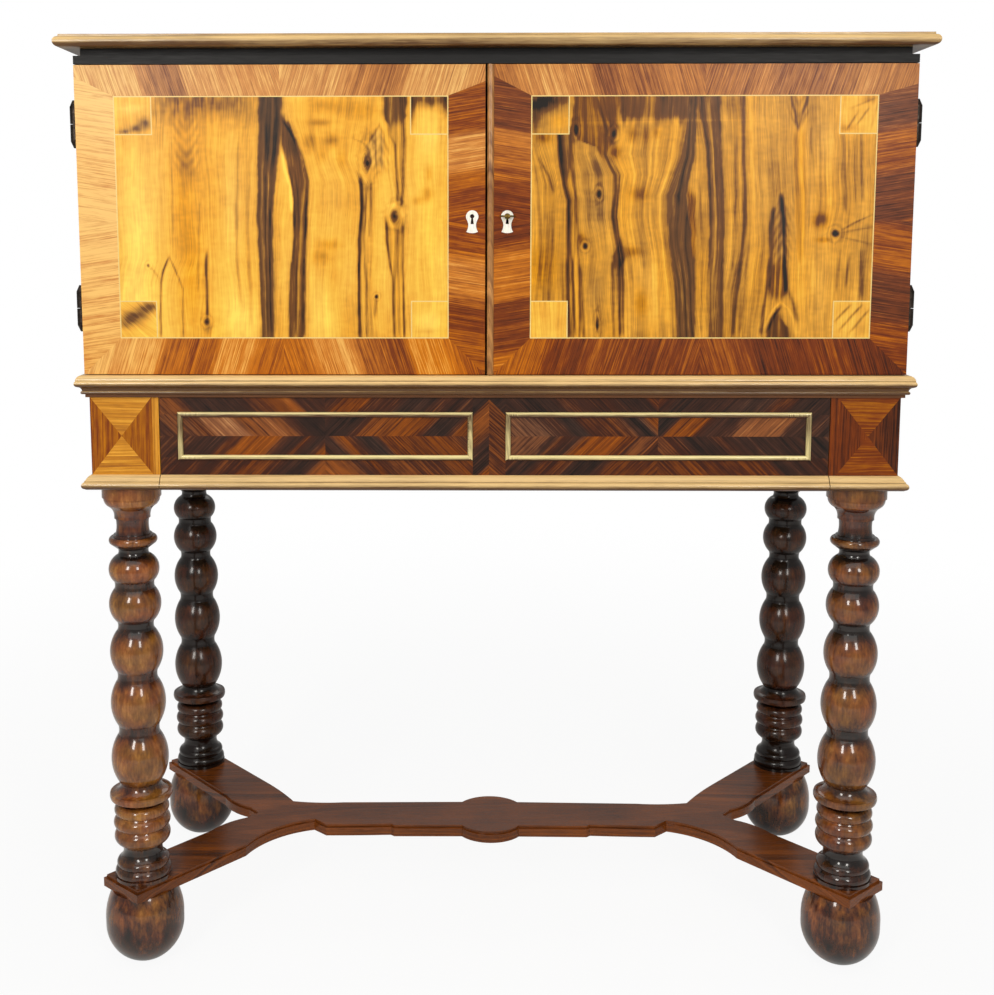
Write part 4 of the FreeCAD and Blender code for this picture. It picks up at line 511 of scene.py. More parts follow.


# The figure of the doors' fields, drawn in millimetres as (x, z):
# guides are lines that the grain follows; bands are stained between two edges and bring
# (left edge, right edge, tone, redness, softness); lines are (path, width, depth); knots are
# (x, z, half width, half height, depth); arches are (x, z of the tip, half width, length);
# blooms are (x, z, reach along x, reach along z, tone, redness).

LEFT_FIGURE = {
    "redness": 0.4, "streaks": 0.05,
    "guides": [
        [(-401, 1130), (-401, 939), (-408, 925), (-412, 910), (-414, 842)],
        [(-353, 1129), (-355, 1028), (-354, 941), (-355, 843)],
        [(-309, 1130), (-314, 1063), (-317, 936), (-314, 885), (-314, 843)],
        [(-286, 1130), (-288, 1063), (-291, 987), (-289, 910), (-288, 843)],
        [(-260, 1130), (-262, 1069), (-270, 1013), (-272, 962), (-271, 911), (-273, 843)],
        [(-251, 1130), (-247, 1106), (-240, 1084), (-232, 1059), (-227, 1034), (-229, 1013), (-231, 988),
         (-233, 937), (-236, 843)],
        [(-166, 1131), (-172, 1090), (-175, 1060), (-164, 1030), (-163, 1001), (-166, 963), (-167, 844)],
        [(-112, 1131), (-110, 1085), (-113, 1039), (-110, 1009), (-112, 911), (-111, 844)],
    ],
    "bands": [
        ([(-286, 1136), (-288, 1063), (-291, 987), (-289, 910), (-288, 842)],
         [(-259, 1136), (-262, 1069), (-270, 1013), (-272, 962), (-271, 911), (-273, 842)], 0.26, 0.2, 2.0),
        ([(-283, 1136), (-284, 1110), (-280, 1080), (-276, 1050)],
         [(-261, 1136), (-259, 1110), (-264, 1080), (-270, 1050)], 0.10, 0.0, 5.0),
        ([(-258, 1110), (-260, 1084), (-251, 1049), (-246, 1013), (-246, 962), (-252, 911), (-254, 842)],
         [(-254, 1110), (-243, 1084), (-234, 1059), (-229, 1034), (-230, 988), (-234, 937), (-237, 842)],
         0.38, 0.4, 1.6),
        ([(-258, 1108), (-258, 1090), (-252, 1062)], [(-252, 1108), (-243, 1084), (-240, 1062)], 0.22,
         0.3, 3.0),
        ([(-136, 1136), (-134, 1112), (-127, 1096)], [(-107, 1136), (-107, 1112), (-112, 1096)], 0.24,
         0.2, 3.0),
        ([(-134, 984), (-133, 963), (-126, 917), (-124, 842)],
         [(-111, 984), (-111, 963), (-111, 911), (-110, 842)], 0.52, 0.5, 2.0),
        ([(-126, 1100), (-122, 1077), (-120, 1049), (-120, 1004)],
         [(-110, 1100), (-109, 1085), (-112, 1039), (-113, 1004)], 0.56, 0.4, 2.0),
        ([(-166, 1040), (-163, 1001), (-167, 963), (-168, 842)],
         [(-150, 1040), (-148, 1001), (-155, 963), (-156, 842)], 0.52, 0.4, 2.0),
        ([(-140, 1100), (-153, 1079), (-160, 1050)], [(-140, 1100), (-134, 1080), (-134, 1050)], 0.52,
         0.1, 2.5),
    ],
    "lines": [
        ([(-401, 941), (-408, 925), (-412, 910), (-414, 842)], 1.1, 0.50),
        ([(-400, 941), (-393, 925), (-389, 914), (-385, 902), (-386, 843)], 1.0, 0.28),
        ([(-354, 1040), (-354, 941)], 1.0, 0.10),
        ([(-354, 948), (-355, 922), (-355, 868)], 1.5, 0.50),
        ([(-361, 1010), (-364, 950), (-366, 900)], 1.3, 0.14),
        ([(-394, 1085), (-396, 941)], 1.0, 0.14),
        ([(-312, 1080), (-316, 1000), (-317, 936), (-314, 885)], 2.2, 0.24),
        ([(-300, 1060), (-303, 980), (-301, 860)], 1.8, 0.14),
        ([(-280, 1040), (-281, 960), (-280, 850)], 1.2, 0.16),
        ([(-275, 1000), (-276, 920), (-276, 850)], 1.0, 0.20),
        ([(-258, 1108), (-243, 1084), (-233, 1059), (-228, 1034), (-229, 1013), (-231, 988), (-233, 937),
          (-236, 843)], 1.6, 0.42),
        ([(-251, 1049), (-245, 1013), (-246, 962), (-252, 911), (-254, 843)], 1.3, 0.22),
        ([(-245, 1050), (-240, 1013), (-240, 962), (-244, 911), (-246, 843)], 1.0, 0.22),
        ([(-260, 1071), (-256, 1049), (-250, 1028), (-248, 998)], 1.6, -0.40),
        ([(-129, 1100), (-128, 1090), (-121, 1077), (-119, 1049), (-118, 1010)], 1.5, 0.24),
        ([(-110, 1100), (-109, 1085), (-111, 1039), (-113, 1004)], 1.7, 0.34),
        ([(-163, 1036), (-162, 1001), (-166, 963), (-167, 844)], 1.6, 0.40),
        ([(-155, 1034), (-160, 963), (-158, 911), (-158, 844)], 1.3, 0.26),
        ([(-150, 1030), (-151, 963), (-152, 844)], 1.0, 0.12),
        ([(-132, 981), (-133, 963), (-125, 917), (-124, 844)], 1.3, 0.26),
        ([(-118, 975), (-118, 911), (-118, 844)], 1.2, 0.20),
        ([(-112, 981), (-112, 911), (-111, 844)], 1.2, 0.22),
        ([(-140, 1101), (-147, 1090), (-154, 1078)], 1.3, 0.24),
        ([(-140, 1101), (-134, 1088), (-132, 1070)], 1.3, 0.24),
        ([(-427, 931), (-420, 925), (-414, 915)], 1.0, 0.18),
        ([(-356, 864), (-354, 843)], 4.0, 0.22),
        ([(-145, 893), (-147, 868)], 2.2, 0.24),
        ([(-172, 1085), (-160, 1080), (-152, 1070)], 1.0, 0.22),
        ([(-106, 895), (-104, 843)], 1.2, 0.10),
    ],
    "knots": [
        (-427, 931, 2.0, 2.4, 0.45), (-356, 862, 3.4, 4.0, 0.50), (-155, 1057, 5.0, 13.0, 0.34),
        (-155, 1055, 1.6, 3.4, 0.55), (-122, 992, 5.5, 8.5, 0.52), (-145, 893, 2.2, 2.6, 0.75),
    ],
    "arches": [(-376, 1040, 16, -70), (-140, 1100, 13, 60)],
    "blooms": [
        (-390, 1134, 46, 34, -0.22, 0.1), (-345, 1136, 40, 36, -0.22, 0.1),
        (-306, 1130, 20, 36, -0.22, 0.0),
        (-374, 1000, 20, 170, -0.09, 0.5), (-320, 1010, 9, 90, 0.08, -0.2),
        (-436, 980, 22, 70, 0.16, -0.3), (-445, 890, 26, 40, 0.20, -0.3), (-316, 865, 20, 36, 0.20, -0.3),
        (-376, 1060, 10, 22, -0.16, 0.0), (-214, 1104, 14, 4, -0.26, 0.2), (-224, 1081, 8, 9, -0.24, 0.2),
        (-199, 1083, 9, 8, -0.24, 0.2), (-210, 1066, 6, 8, -0.16, 0.2), (-186, 1060, 6, 10, -0.12, 0.2),
        (-203, 957, 14, 6, -0.16, 0.3), (-214, 942, 12, 9, -0.16, 0.3), (-80, 1042, 4, 9, -0.22, 0.2),
        (-82, 1018, 7, 8, -0.20, 0.2), (-94, 1010, 8, 5, -0.12, 0.2), (-215, 880, 16, 50, 0.12, -0.2),
        (-80, 1090, 16, 20, 0.10, -0.2), (-78, 930, 18, 50, 0.06, 0.0), (-200, 1124, 30, 9, -0.12, 0.2),
        (-160, 1118, 16, 10, -0.10, 0.2), (-122, 1001, 5, 5, 0.10, 0.0),
    ],
}

RIGHT_FIGURE = {
    "redness": 0.5, "streaks": 0.11,
    "guides": [
        [(52, 1135), (54, 1080), (70, 1030), (72, 980), (66, 842)],
        [(83, 1132), (78, 1086), (81, 1051), (85, 1028), (91, 1010), (91, 964), (91, 913), (93, 845)],
        [(131, 1135), (137, 1091), (135, 1066), (149, 1041), (146, 990), (155, 939), (157, 845)],
        [(237, 1134), (232, 1092), (228, 1062), (218, 1036), (211, 1016), (213, 978), (216, 952),
         (222, 913),
         (225, 874), (227, 846)],
        [(246, 1139), (250, 1110), (258, 1072), (261, 1032), (264, 991), (264, 939), (266, 846)],
        [(301, 1142), (303, 1067), (306, 1016), (306, 978), (302, 927), (297, 875), (295, 846)],
        [(357, 1142), (361, 1093), (367, 1002), (369, 940), (372, 846)],
        [(423, 1142), (423, 1093), (429, 997), (424, 846)],
    ],
    "bands": [
        ([(96, 1137), (96, 1116), (92, 1096), (104, 1082), (124, 1075), (130, 1062)],
         [(153, 1137), (150, 1117), (150, 1100), (146, 1084), (139, 1070), (136, 1062)], 0.30, 0.8, 2.5),
        ([(78, 1096), (78, 1086), (81, 1051), (85, 1028), (90, 1010), (90, 964), (91, 913), (92, 842)],
         [(96, 1096), (98, 1070), (97, 1051), (98, 1028), (103, 1010), (103, 964), (106, 913), (114, 842)],
         0.46, 0.6, 2.0),
        ([(78, 1092), (79, 1070), (82, 1051), (86, 1036)], [(94, 1092), (94, 1070), (93, 1051), (90, 1036)],
         0.24, 0.4, 3.0),
        ([(150, 1137), (154, 1104)], [(243, 1137), (243, 1104)], 0.30, 0.6, 4.0),
        ([(200, 1137), (205, 1106)], [(243, 1137), (243, 1106)], 0.20, 0.4, 5.0),
        ([(236, 1137), (232, 1092), (228, 1062), (218, 1036), (211, 1016), (213, 978), (216, 952),
          (222, 913),
          (225, 874), (227, 842)],
         [(244, 1137), (244, 1117), (244, 1062), (236, 1031), (234, 1016), (238, 991), (246, 939),
          (247, 913),
          (248, 842)], 0.15, 0.2, 1.8),
        ([(236, 1018), (239, 991), (243, 939)], [(246, 1018), (246, 991), (247, 939)], 0.34, 1.0, 1.5),
        ([(246, 1142), (250, 1110), (258, 1072), (261, 1032), (264, 991), (264, 939), (266, 842)],
         [(272, 1142), (274, 1092), (278, 1042), (281, 991), (281, 939), (283, 842)], 0.23, 0.4, 2.0),
        ([(356, 1142), (359, 1112), (365, 1096)], [(380, 1142), (377, 1112), (371, 1096)], 0.46, 0.6, 2.2),
        ([(363, 1093), (367, 1002), (372, 940)], [(377, 1093), (381, 1002), (379, 940)], 0.55, 0.8, 3.0),
        ([(346, 1010), (347, 940), (342, 912), (341, 895)],
         [(352, 1010), (357, 940), (359, 912), (359, 895)],
         0.42, 0.2, 2.5),
        ([(342, 932), (338, 906), (342, 893)], [(357, 932), (360, 906), (358, 893)], 0.32, 0.8, 3.0),
        ([(341, 866), (347, 874), (338, 854), (337, 842)], [(353, 866), (352, 874), (362, 854), (364, 842)],
         0.20, 0.6, 2.5),
        ([(153, 956), (146, 942), (146, 928)], [(158, 956), (162, 942), (156, 928)], 0.24, 0.6, 3.0),
    ],
    "lines": [
        ([(78, 1096), (78, 1086), (81, 1051), (85, 1028), (91, 1010), (91, 964), (91, 913), (93, 843)],
         1.7, 0.46),
        ([(97, 1050), (99, 1020), (99, 960), (97, 913), (101, 843)], 1.2, 0.22),
        ([(106, 930), (108, 890), (110, 843)], 1.6, 0.20),
        ([(124, 1132), (132, 1108), (138, 1091)], 1.3, 0.26),
        ([(131, 1134), (136, 1118), (141, 1100)], 1.3, 0.24),
        ([(135, 1066), (142, 1052), (148, 1041), (148, 1020), (145, 990), (150, 962), (154, 939),
          (156, 845)],
         1.4, 0.44),
        ([(138, 1066), (146, 1053), (152, 1041), (152, 1020), (149, 990), (153, 965), (158, 939),
          (160, 845)],
         1.0, 0.30),
        ([(146, 935), (147, 890), (148, 843)], 1.6, 0.22),
        ([(165, 1104), (200, 1107), (238, 1106)], 1.6, -0.30),
        ([(301, 1140), (303, 1067), (306, 1016), (306, 978), (302, 927), (297, 875), (295, 846)], 2.0,
         0.28),
        ([(292, 1080), (294, 1016), (293, 927)], 1.6, 0.14),
        ([(312, 960), (309, 910), (304, 850)], 1.6, 0.16),
        ([(350, 1016), (353, 991), (356, 940), (359, 899)], 2.0, 0.60),
        ([(341, 1000), (338, 978), (339, 940), (336, 906), (332, 878), (329, 846)], 2.2, 0.36),
        ([(333, 854), (345, 878), (353, 886)], 1.2, -0.14),
        ([(353, 886), (363, 878), (369, 865), (372, 846)], 1.2, -0.12),
        ([(337, 850), (346, 870), (353, 880)], 1.4, 0.30),
        ([(362, 900), (369, 884), (374, 862)], 2.2, 0.26),
        ([(357, 1140), (368, 1095)], 1.2, 0.22), ([(379, 1140), (368, 1095)], 1.2, 0.22),
        ([(383, 1093), (384, 1000), (386, 850)], 1.2, 0.12),
        ([(423, 1093), (429, 997)], 1.8, 0.22), ([(412, 1100), (414, 1000)], 1.2, 0.10),
        ([(444, 1093), (449, 1010)], 1.8, 0.20), ([(436, 1080), (440, 1010)], 1.2, 0.14),
        ([(436, 945), (432, 905)], 1.8, 0.22), ([(424, 950), (421, 900)], 1.4, 0.18),
        ([(449, 950), (451, 893)], 3.0, 0.20),
        ([(424, 973), (440, 983), (460, 992)], 1.2, 0.18),
        ([(424, 970), (440, 974), (460, 977)], 1.2, 0.18),
        ([(424, 966), (440, 962), (460, 957)], 1.2, 0.18),
        ([(55, 1060), (66, 1040), (72, 1020)], 1.4, 0.24), ([(50, 1050), (56, 980), (58, 900)], 1.6, 0.12),
        ([(258, 1130), (266, 1060), (270, 990), (271, 850)], 1.2, -0.10),
        ([(228, 1030), (226, 960), (234, 880)], 1.2, -0.10),
        ([(250, 1030), (255, 960), (256, 850)], 1.4, 0.14),
    ],
    "knots": [
        (99, 1095, 2.2, 5.5, 0.70), (145, 1090, 3.2, 5.0, 0.30), (128, 1018, 2.8, 5.0, 0.62),
        (112, 955, 3.0, 3.6, 0.72), (128, 858, 2.0, 8.5, 0.60), (417, 970, 4.2, 4.4, 0.85),
    ],
    "arches": [(353, 1014, 12, 80), (368, 1100, 12, -60)],
    "blooms": [
        (147, 1068, 6, 7, -0.34, 0.6), (106, 964, 7, 7, -0.24, 0.5), (177, 1018, 12, 8, -0.16, 0.4),
        (170, 948, 12, 6, -0.20, 0.5), (168, 1090, 6, 10, -0.22, 0.4), (184, 1088, 5, 10, -0.18, 0.4),
        (196, 1092, 5, 7, -0.18, 0.4), (398, 986, 9, 8, -0.34, 0.9), (402, 962, 8, 3, -0.22, 0.8),
        (60, 1086, 9, 7, -0.28, 0.6), (128, 1000, 12, 22, -0.16, -0.3), (124, 1050, 10, 14, -0.14, -0.2),
        (124, 900, 10, 26, -0.06, -0.3), (195, 890, 14, 40, 0.12, -0.1), (330, 1010, 10, 60, 0.05, 0.0),
        (405, 1080, 16, 40, 0.10, -0.1), (400, 880, 12, 40, 0.12, -0.1), (286, 1122, 12, 10, -0.10, 0.1),
        (182, 885, 8, 16, -0.10, 0.6), (60, 930, 18, 30, -0.05, 0.4), (198, 960, 10, 60, 0.06, 0.0),
    ],
}


LATTICE = np.random.default_rng(5).random((64, 64))


def clouded(u, v, layer):
    """Smooth random clouds from minus one to one, about one to each unit of u and v."""
    u, v = u + 17.3 * layer, v + 9.1 * layer
    column, row = np.floor(u).astype(int), np.floor(v).astype(int)
    right, up = u - column, v - row
    right, up = right * right * (3 - 2 * right), up * up * (3 - 2 * up)
    low, high = [LATTICE[column % 64, (row + step) % 64] * (1 - right)
                 + LATTICE[(column + 1) % 64, (row + step) % 64] * right for step in (0, 1)]
    return 2 * (low * (1 - up) + high * up) - 1


def soft(distance, width):
    """One well inside a border and nought well outside, across a soft width."""
    share = np.clip(distance / width + 0.5, 0, 1)
    return share * share * (3 - 2 * share)


def along_path(path, z):
    """Where a path drawn from top to foot lies across at each height."""
    return np.interp(z, *np.array(sorted((b, a) for a, b in path)).T)


def figured(x, z, plan, base):
    """Grain and tint at points of a field from its plan of guides, bands, lines, knots and blooms."""
    ladder = [(along_path(path, z), float(np.mean([a for a, b in path]))) for path in plan["guides"]]
    for edge in (x.min() - 20, x.max() + 20):
        ladder.append((np.full_like(x, edge), edge))
    ladder.sort(key=lambda item: item[1])
    flow = x.copy()
    for (left, left_name), (right, right_name) in zip(ladder, ladder[1:]):
        inside = (x >= left) & (x <= right)
        share = (x - left) / np.maximum(right - left, 0.1)
        flow = np.where(inside, left_name + share * (right_name - left_name), flow)
    flow += 2.4 * clouded(x / 34, z / 60, 1) + 0.8 * clouded(x / 11, z / 30, 2)
    for knot_x, knot_z, wide, high, depth in plan["knots"]:
        away = np.hypot((x - knot_x) / wide, (z - knot_z) / high)
        flow -= (x - knot_x) / np.maximum(away, 1) ** 2 * 1.3
    streaks = (0.9 * clouded(flow / 7, z / 210, 3) + 0.7 * clouded(flow / 2.8, z / 120, 4)
               + 0.45 * clouded(flow / 1.7, z / 50, 5))
    tone = base + plan["streaks"] * streaks
    tone += 0.06 * clouded(x / 30, z / 45, 6) + 0.025 * clouded(x / 8, z / 3.2, 7)
    red = np.full_like(x, plan["redness"]) + 0.15 * clouded(flow / 24, z / 90, 8)
    for place_x, place_z, reach_x, reach_z, change, redder in plan["blooms"]:
        weight = np.exp(-((x - place_x) / reach_x) ** 2 - ((z - place_z) / reach_z) ** 2)
        tone += change * weight * (1 + 0.25 * clouded(flow / 2.6, z / 16, 9) + 0.25 * clouded(flow / 6,
                                                                                              z / 9, 10))
        red += redder * weight
    for left, right, level, redness, width in plan["bands"]:
        low, high = min(b for a, b in left), max(b for a, b in left)
        wander = 0.8 * clouded(z / 16, z / 90, 11) + 0.4 * clouded(z / 5, z / 60, 12)
        one, other = along_path(left, z) + wander, along_path(right, z) + wander
        wide = np.maximum(other - one, 0.1)
        weight = soft(x - one, 1.6 * width) * soft(other - x, 1.6 * width)
        ragged = 5 * clouded(flow / 3.1, z / 200, 13) + 5 * clouded(flow / 13, z / 200, 20)
        ends = np.ones_like(x)
        if low > 843:
            ends = ends * soft(z - low + ragged, 18)
        if high < 1133:
            ends = ends * soft(high - z + ragged, 18)
        # the stain is paler in the middle, and a brown breath of it lies outside its edges
        middle = np.clip(4 * (x - one) * (other - x) / wide ** 2, 0, 1)
        inner = level - 0.05 + 0.14 * middle + 0.18 * clouded(flow / 2.2, z / 160, 14) + 0.06 * clouded(
            flow / 5.3, z / 70, 15)
        breath = np.exp(-(np.maximum(np.abs(x - (one + other) / 2) - wide / 2, 0) / 4.5) ** 2)
        tone -= 0.12 * breath * ends * (1 - weight) * np.clip((tone - level) * 2, 0, 1)
        tone += ends * weight * (inner - tone)
        red += ends * weight * (redness - red)
    for tip_x, tip_z, half, long in plan["arches"]:
        aside = np.abs(x - tip_x) / half
        past = (tip_z - z) * np.sign(long)
        nest = np.sin((past - 22 * aside ** 1.3 + 1.5 * clouded(x / 6, z / 14, 16)) * math.tau / 15)
        weight = soft(1 - aside, 0.5) * soft(past / abs(long) - 0.1, 0.3) * soft(1 - past / abs(long), 0.5)
        tone += 0.05 * weight * nest
    for path, width, depth in plan["lines"]:
        low, high = min(b for a, b in path), max(b for a, b in path)
        middle = along_path(path, z) + 0.5 * clouded(z / 13, z / 70, 17)
        steep = np.abs(np.gradient(np.array([a for a, b in path], float), [b for a, b in path])).mean()
        reach = 1.15 * width * math.hypot(1, steep)
        ends = soft(z - low, 12) * soft(high - z, 12)
        fading = 1 + 0.35 * clouded(z / 18, z / 80, 18)
        tone -= depth * ends * fading * np.exp(-((x - middle) / reach) ** 2)
    for knot_x, knot_z, wide, high, depth in plan["knots"]:
        aside, above = (x - knot_x) / wide, (z - knot_z) / high
        away = np.hypot(aside, above) * (1 + 0.16 * clouded(x / 4, z / 4, 19))
        turns = np.where(away < 3, 0.5 + 0.5 * np.cos(away * 4.2), 0) * np.exp(-away)
        tone -= depth * np.exp(-(away * 1.1) ** 4) + 0.45 * depth * turns
        tone += 0.08 * np.exp(-((away - 1.6) / 0.35) ** 2) - 0.10 * np.exp(-((away - 2.3) / 0.4) ** 2)
        # a small painted highlight on each knot, up and to the right of its middle
        tone += 0.5 * depth * np.exp(-((aside - 0.3) / 0.3) ** 2 - ((above - 0.2) / 0.25) ** 2)
    return flow, tone, np.clip(red, 0, 1)


def sheet_of_figure(name, patches, front, back, step, plan, base, strength, material, slot, body, *nodes):
    """Flat veneer of rectangular patches (low x, low z, high x, high z) with a drawn figure."""
    points, faces, grain, tint = [], [], [], []
    for low_x, low_z, high_x, high_z in patches:
        xs = np.linspace(low_x, high_x, max(2, round((high_x - low_x) / step) + 1))
        zs = np.linspace(low_z, high_z, max(2, round((high_z - low_z) / step) + 1))
        x, z = np.meshgrid(xs, zs)
        flow, tone, red = figured(x, z, plan, base)
        start, columns, rows = len(points), len(xs), len(zs)
        points += [(a * MM, front * MM, b * MM) for a, b in zip(x.ravel(), z.ravel())]
        grain += [(b * MM, a * MM, 0.0) for a, b in zip(flow.ravel(), z.ravel())]
        tint += [(a, b, strength) for a, b in zip(tone.ravel(), red.ravel())]
        for row in range(rows - 1):
            for column in range(columns - 1):
                first = start + row * columns + column
                faces.append((first, first + 1, first + columns + 1, first + columns))
        corners = [start, start + columns - 1, start + rows * columns - 1, start + (rows - 1) * columns]
        behind = len(points)
        points += [(points[corner][0], back * MM, points[corner][2]) for corner in corners]
        grain += [grain[corner] for corner in corners]
        tint += [tint[corner] for corner in corners]
        for one in range(4):
            other = (one + 1) % 4
            faces.append((corners[one], behind + one, behind + other, corners[other]))
        faces.append((behind + 3, behind + 2, behind + 1, behind))
    mesh = bpy.data.meshes.new(name)
    mesh.from_pydata(points, [], faces)
    for title, values in (("grain", grain), ("tint", tint)):
        layer = mesh.attributes.new(title, "FLOAT_VECTOR", "POINT")
        layer.data.foreach_set("vector", np.array(values, np.float32).ravel())
    return placed(name, mesh, material, slot, body, *nodes)


# Tones along the borders of the doors, as (place, tone, redness): x for upper and lower, z for sides

BORDERS = {
    "left": {
        "upper": [(-511, 0.83, 0), (-440, 0.86, 0), (-428, 0.58, 0), (-402, 0.53, 0), (-396, 0.38, 0.1),
                  (-380, 0.51, 0), (-375, 0.78, 0), (-300, 0.73, 0.2), (-230, 0.76, 0.1),
                  (-190, 0.73, 0.1), (-165, 0.58, 0.2), (-120, 0.53, 0.2), (-100, 0.76, 0.1),
                  (-40, 0.78, 0), (-11, 0.63, 0.2)],
        "lower": [(-511, 0.89, 0.3), (-420, 0.82, 0.7), (-412, 0.54, 0.8), (-350, 0.49, 0.9),
                  (-342, 0.79, 0.8), (-306, 0.77, 0.8), (-290, 0.57, 0.9), (-240, 0.52, 0.9),
                  (-215, 0.74, 0.7), (-172, 0.82, 0.6), (-162, 0.44, 0.7), (-108, 0.39, 0.8),
                  (-98, 0.79, 0.9), (-60, 0.72, 1), (-30, 0.44, 1), (-11, 0.42, 1)],
        "left": [(796, 0.84, 0.6), (860, 0.91, 0.4), (980, 0.96, 0.2), (1060, 0.94, 0.3),
                  (1110, 0.99, 0.1), (1173, 1.00, 0)],
        "right": [(796, 0.38, 0.9), (820, 0.48, 0.9), (862, 0.33, 0.9), (884, 0.38, 0.8), (892, 0.65, 0.7),
                  (930, 0.65, 0.6), (955, 0.40, 1), (1010, 0.38, 1), (1040, 0.48, 0.9), (1050, 0.68, 0.5),
                  (1088, 0.70, 0.4), (1096, 0.43, 0.9), (1140, 0.40, 0.8), (1173, 0.58, 0.6)],
    },
    "right": {
        "upper": [(-1, 0.45, 0.4), (60, 0.75, 0.2), (115, 0.65, 0.3), (128, 0.37, 0.4), (150, 0.42, 0.4),
                  (165, 0.52, 0.4), (250, 0.57, 0.4), (262, 0.45, 0.4), (330, 0.57, 0.3), (345, 0.45, 0.3),
                  (400, 0.45, 0.3), (440, 0.57, 0.2), (511, 0.55, 0.3)],
        "lower": [(-1, 0.45, 0.9), (60, 0.55, 0.9), (68, 0.32, 0.9), (100, 0.25, 0.8), (120, 0.40, 0.8),
                  (200, 0.27, 0.8), (245, 0.37, 0.8), (310, 0.37, 0.8), (330, 0.20, 0.8), (380, 0.30, 0.9),
                  (440, 0.30, 0.9), (480, 0.15, 0.9), (511, 0.08, 0.8)],
        "left": [(796, 0.55, 0.9), (826, 0.52, 0.9), (834, 0.27, 0.8), (884, 0.32, 0.8), (894, 0.60, 0.8),
                  (950, 0.57, 0.8), (962, 0.25, 0.9), (1010, 0.30, 1), (1040, 0.45, 0.8),
                  (1090, 0.60, 0.6), (1098, 0.27, 0.6), (1150, 0.32, 0.6), (1173, 0.37, 0.5)],
        "right": [(796, 0.34, 0.9), (850, 0.39, 1), (868, 0.21, 0.6), (918, 0.26, 0.6), (930, 0.46, 0.9),
                  (975, 0.44, 0.9), (990, 0.21, 0.6), (1040, 0.26, 0.6), (1056, 0.46, 0.9),
                  (1092, 0.46, 0.8), (1100, 0.29, 0.4), (1173, 0.31, 0.3)],
    },
}
# how far below the upper corners the mitres of the borders meet the doors' outer edges
MITRE_DROPS = {"left": (14, 20), "right": (14, 24)}


def door_border(side, low, high, string, width, windows, chance):
    """Cross-grained border of one door, quartered about the door's own middle."""
    work = Marquetry(low.y, high.y, chance)
    work.windows = windows
    x0, z0, x1, z1 = low.x, low.z, high.x, high.z
    a0, c0, a1, c1 = string[0].x, string[0].z, string[1].x, string[1].z
    middle_x, middle_z = (x0 + x1) / 2, (z0 + z1) / 2
    drop_left, drop_right = MITRE_DROPS[side]
    tones = BORDERS[side]
    upper = [(a0, c1), (a1, c1), (x1, z1 - drop_right), (x1, z1), (x0, z1), (x0, z1 - drop_left)]
    lower = [(x0, z0), (x1, z0), (a1, c0), (a0, c0)]
    left = [(x0, z0), (a0, c0), (a0, c1), (x0, z1 - drop_left)]
    right = [(x1, z0), (x1, z1 - drop_right), (a1, c1), (a1, c0)]
    steep, flat = math.tan(math.radians(72)), math.tan(math.radians(9))
    for region, name, line in (
            (upper, "upper", ((x0, (c1 + z1) / 2), (x1, (c1 + z1) / 2))),
            (lower, "lower", ((x0, (c0 + z0) / 2), (x1, (c0 + z0) / 2))),
            (left, "left", (((a0 + x0) / 2, z0), ((a0 + x0) / 2, z1))),
            (right, "right", (((a1 + x1) / 2, z0), ((a1 + x1) / 2, z1)))):
        level = name in ("upper", "lower")
        px, pz = line[0]
        heart = (middle_x, pz) if level else (px, middle_z)
        for sign in (-1, 1):
            if level:
                half = kept(region, (sign, 0), sign * middle_x)
                slope = steep if (name == "upper") == (sign > 0) else -steep
            else:
                half = kept(region, (0, sign), sign * middle_z)
                slope = flat if (name == "right") == (sign > 0) else -flat
            span = (line[0], heart) if sign < 0 else (heart, line[1])
            work.stripes(half, span, (1, slope), tones[name], width, 1.0)
    return work


class CABINET_OT_door_borders(bpy.types.Operator):
    """Lays the cross-grained borders of both doors, with windows behind the escutcheons"""
    bl_idname = "cabinet.door_borders"
    bl_label = "Door borders"

    def execute(self, context):
        colours, sizes = context.scene.cabinet_colours, context.scene.cabinet_sizes
        # walnut cut across the grain, scraped and waxed: short dark stripes, soft shine
        material = veneer("crossbanded_walnut", [colours.band_dark, colours.band_red, colours.band_amber,
                                                 colours.band_tan], stripe=0.9, spread=0.44, faded=0.94)
        for side, low, high, string, chance in (("left", LEFT_LOW, LEFT_HIGH, LEFT_STRING, 3),
                                                ("right", RIGHT_LOW, RIGHT_HIGH, RIGHT_STRING, 4)):
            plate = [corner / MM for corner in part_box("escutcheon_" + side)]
            windows = [(plate[0].x + 2.5, plate[0].z + 2, plate[1].x - 2.5, plate[1].z - 2)]
            work = door_border(side, low, high, string, sizes.slat / MM, windows, chance)
            if side == "left":
                # the left plate is blind: a leaf of dark wood closes its keyhole, its near-black tone
                # partly painted shade for the hole
                work.windows = []
                work.front = low.y + 1.2
                x0, z0, x1, z1 = windows[0]
                work.leaf([(x0, z0), (x1, z0), (x1, z1), (x0, z1)], (0, 1), lambda x, z: (-0.3, 0, 0.4))
            work.built("border_" + side, material, "banding", side + "_door", "door_banding_" + side)
        return {"FINISHED"}


# side of the doors' corner squares, in mm
SQUARE = 44


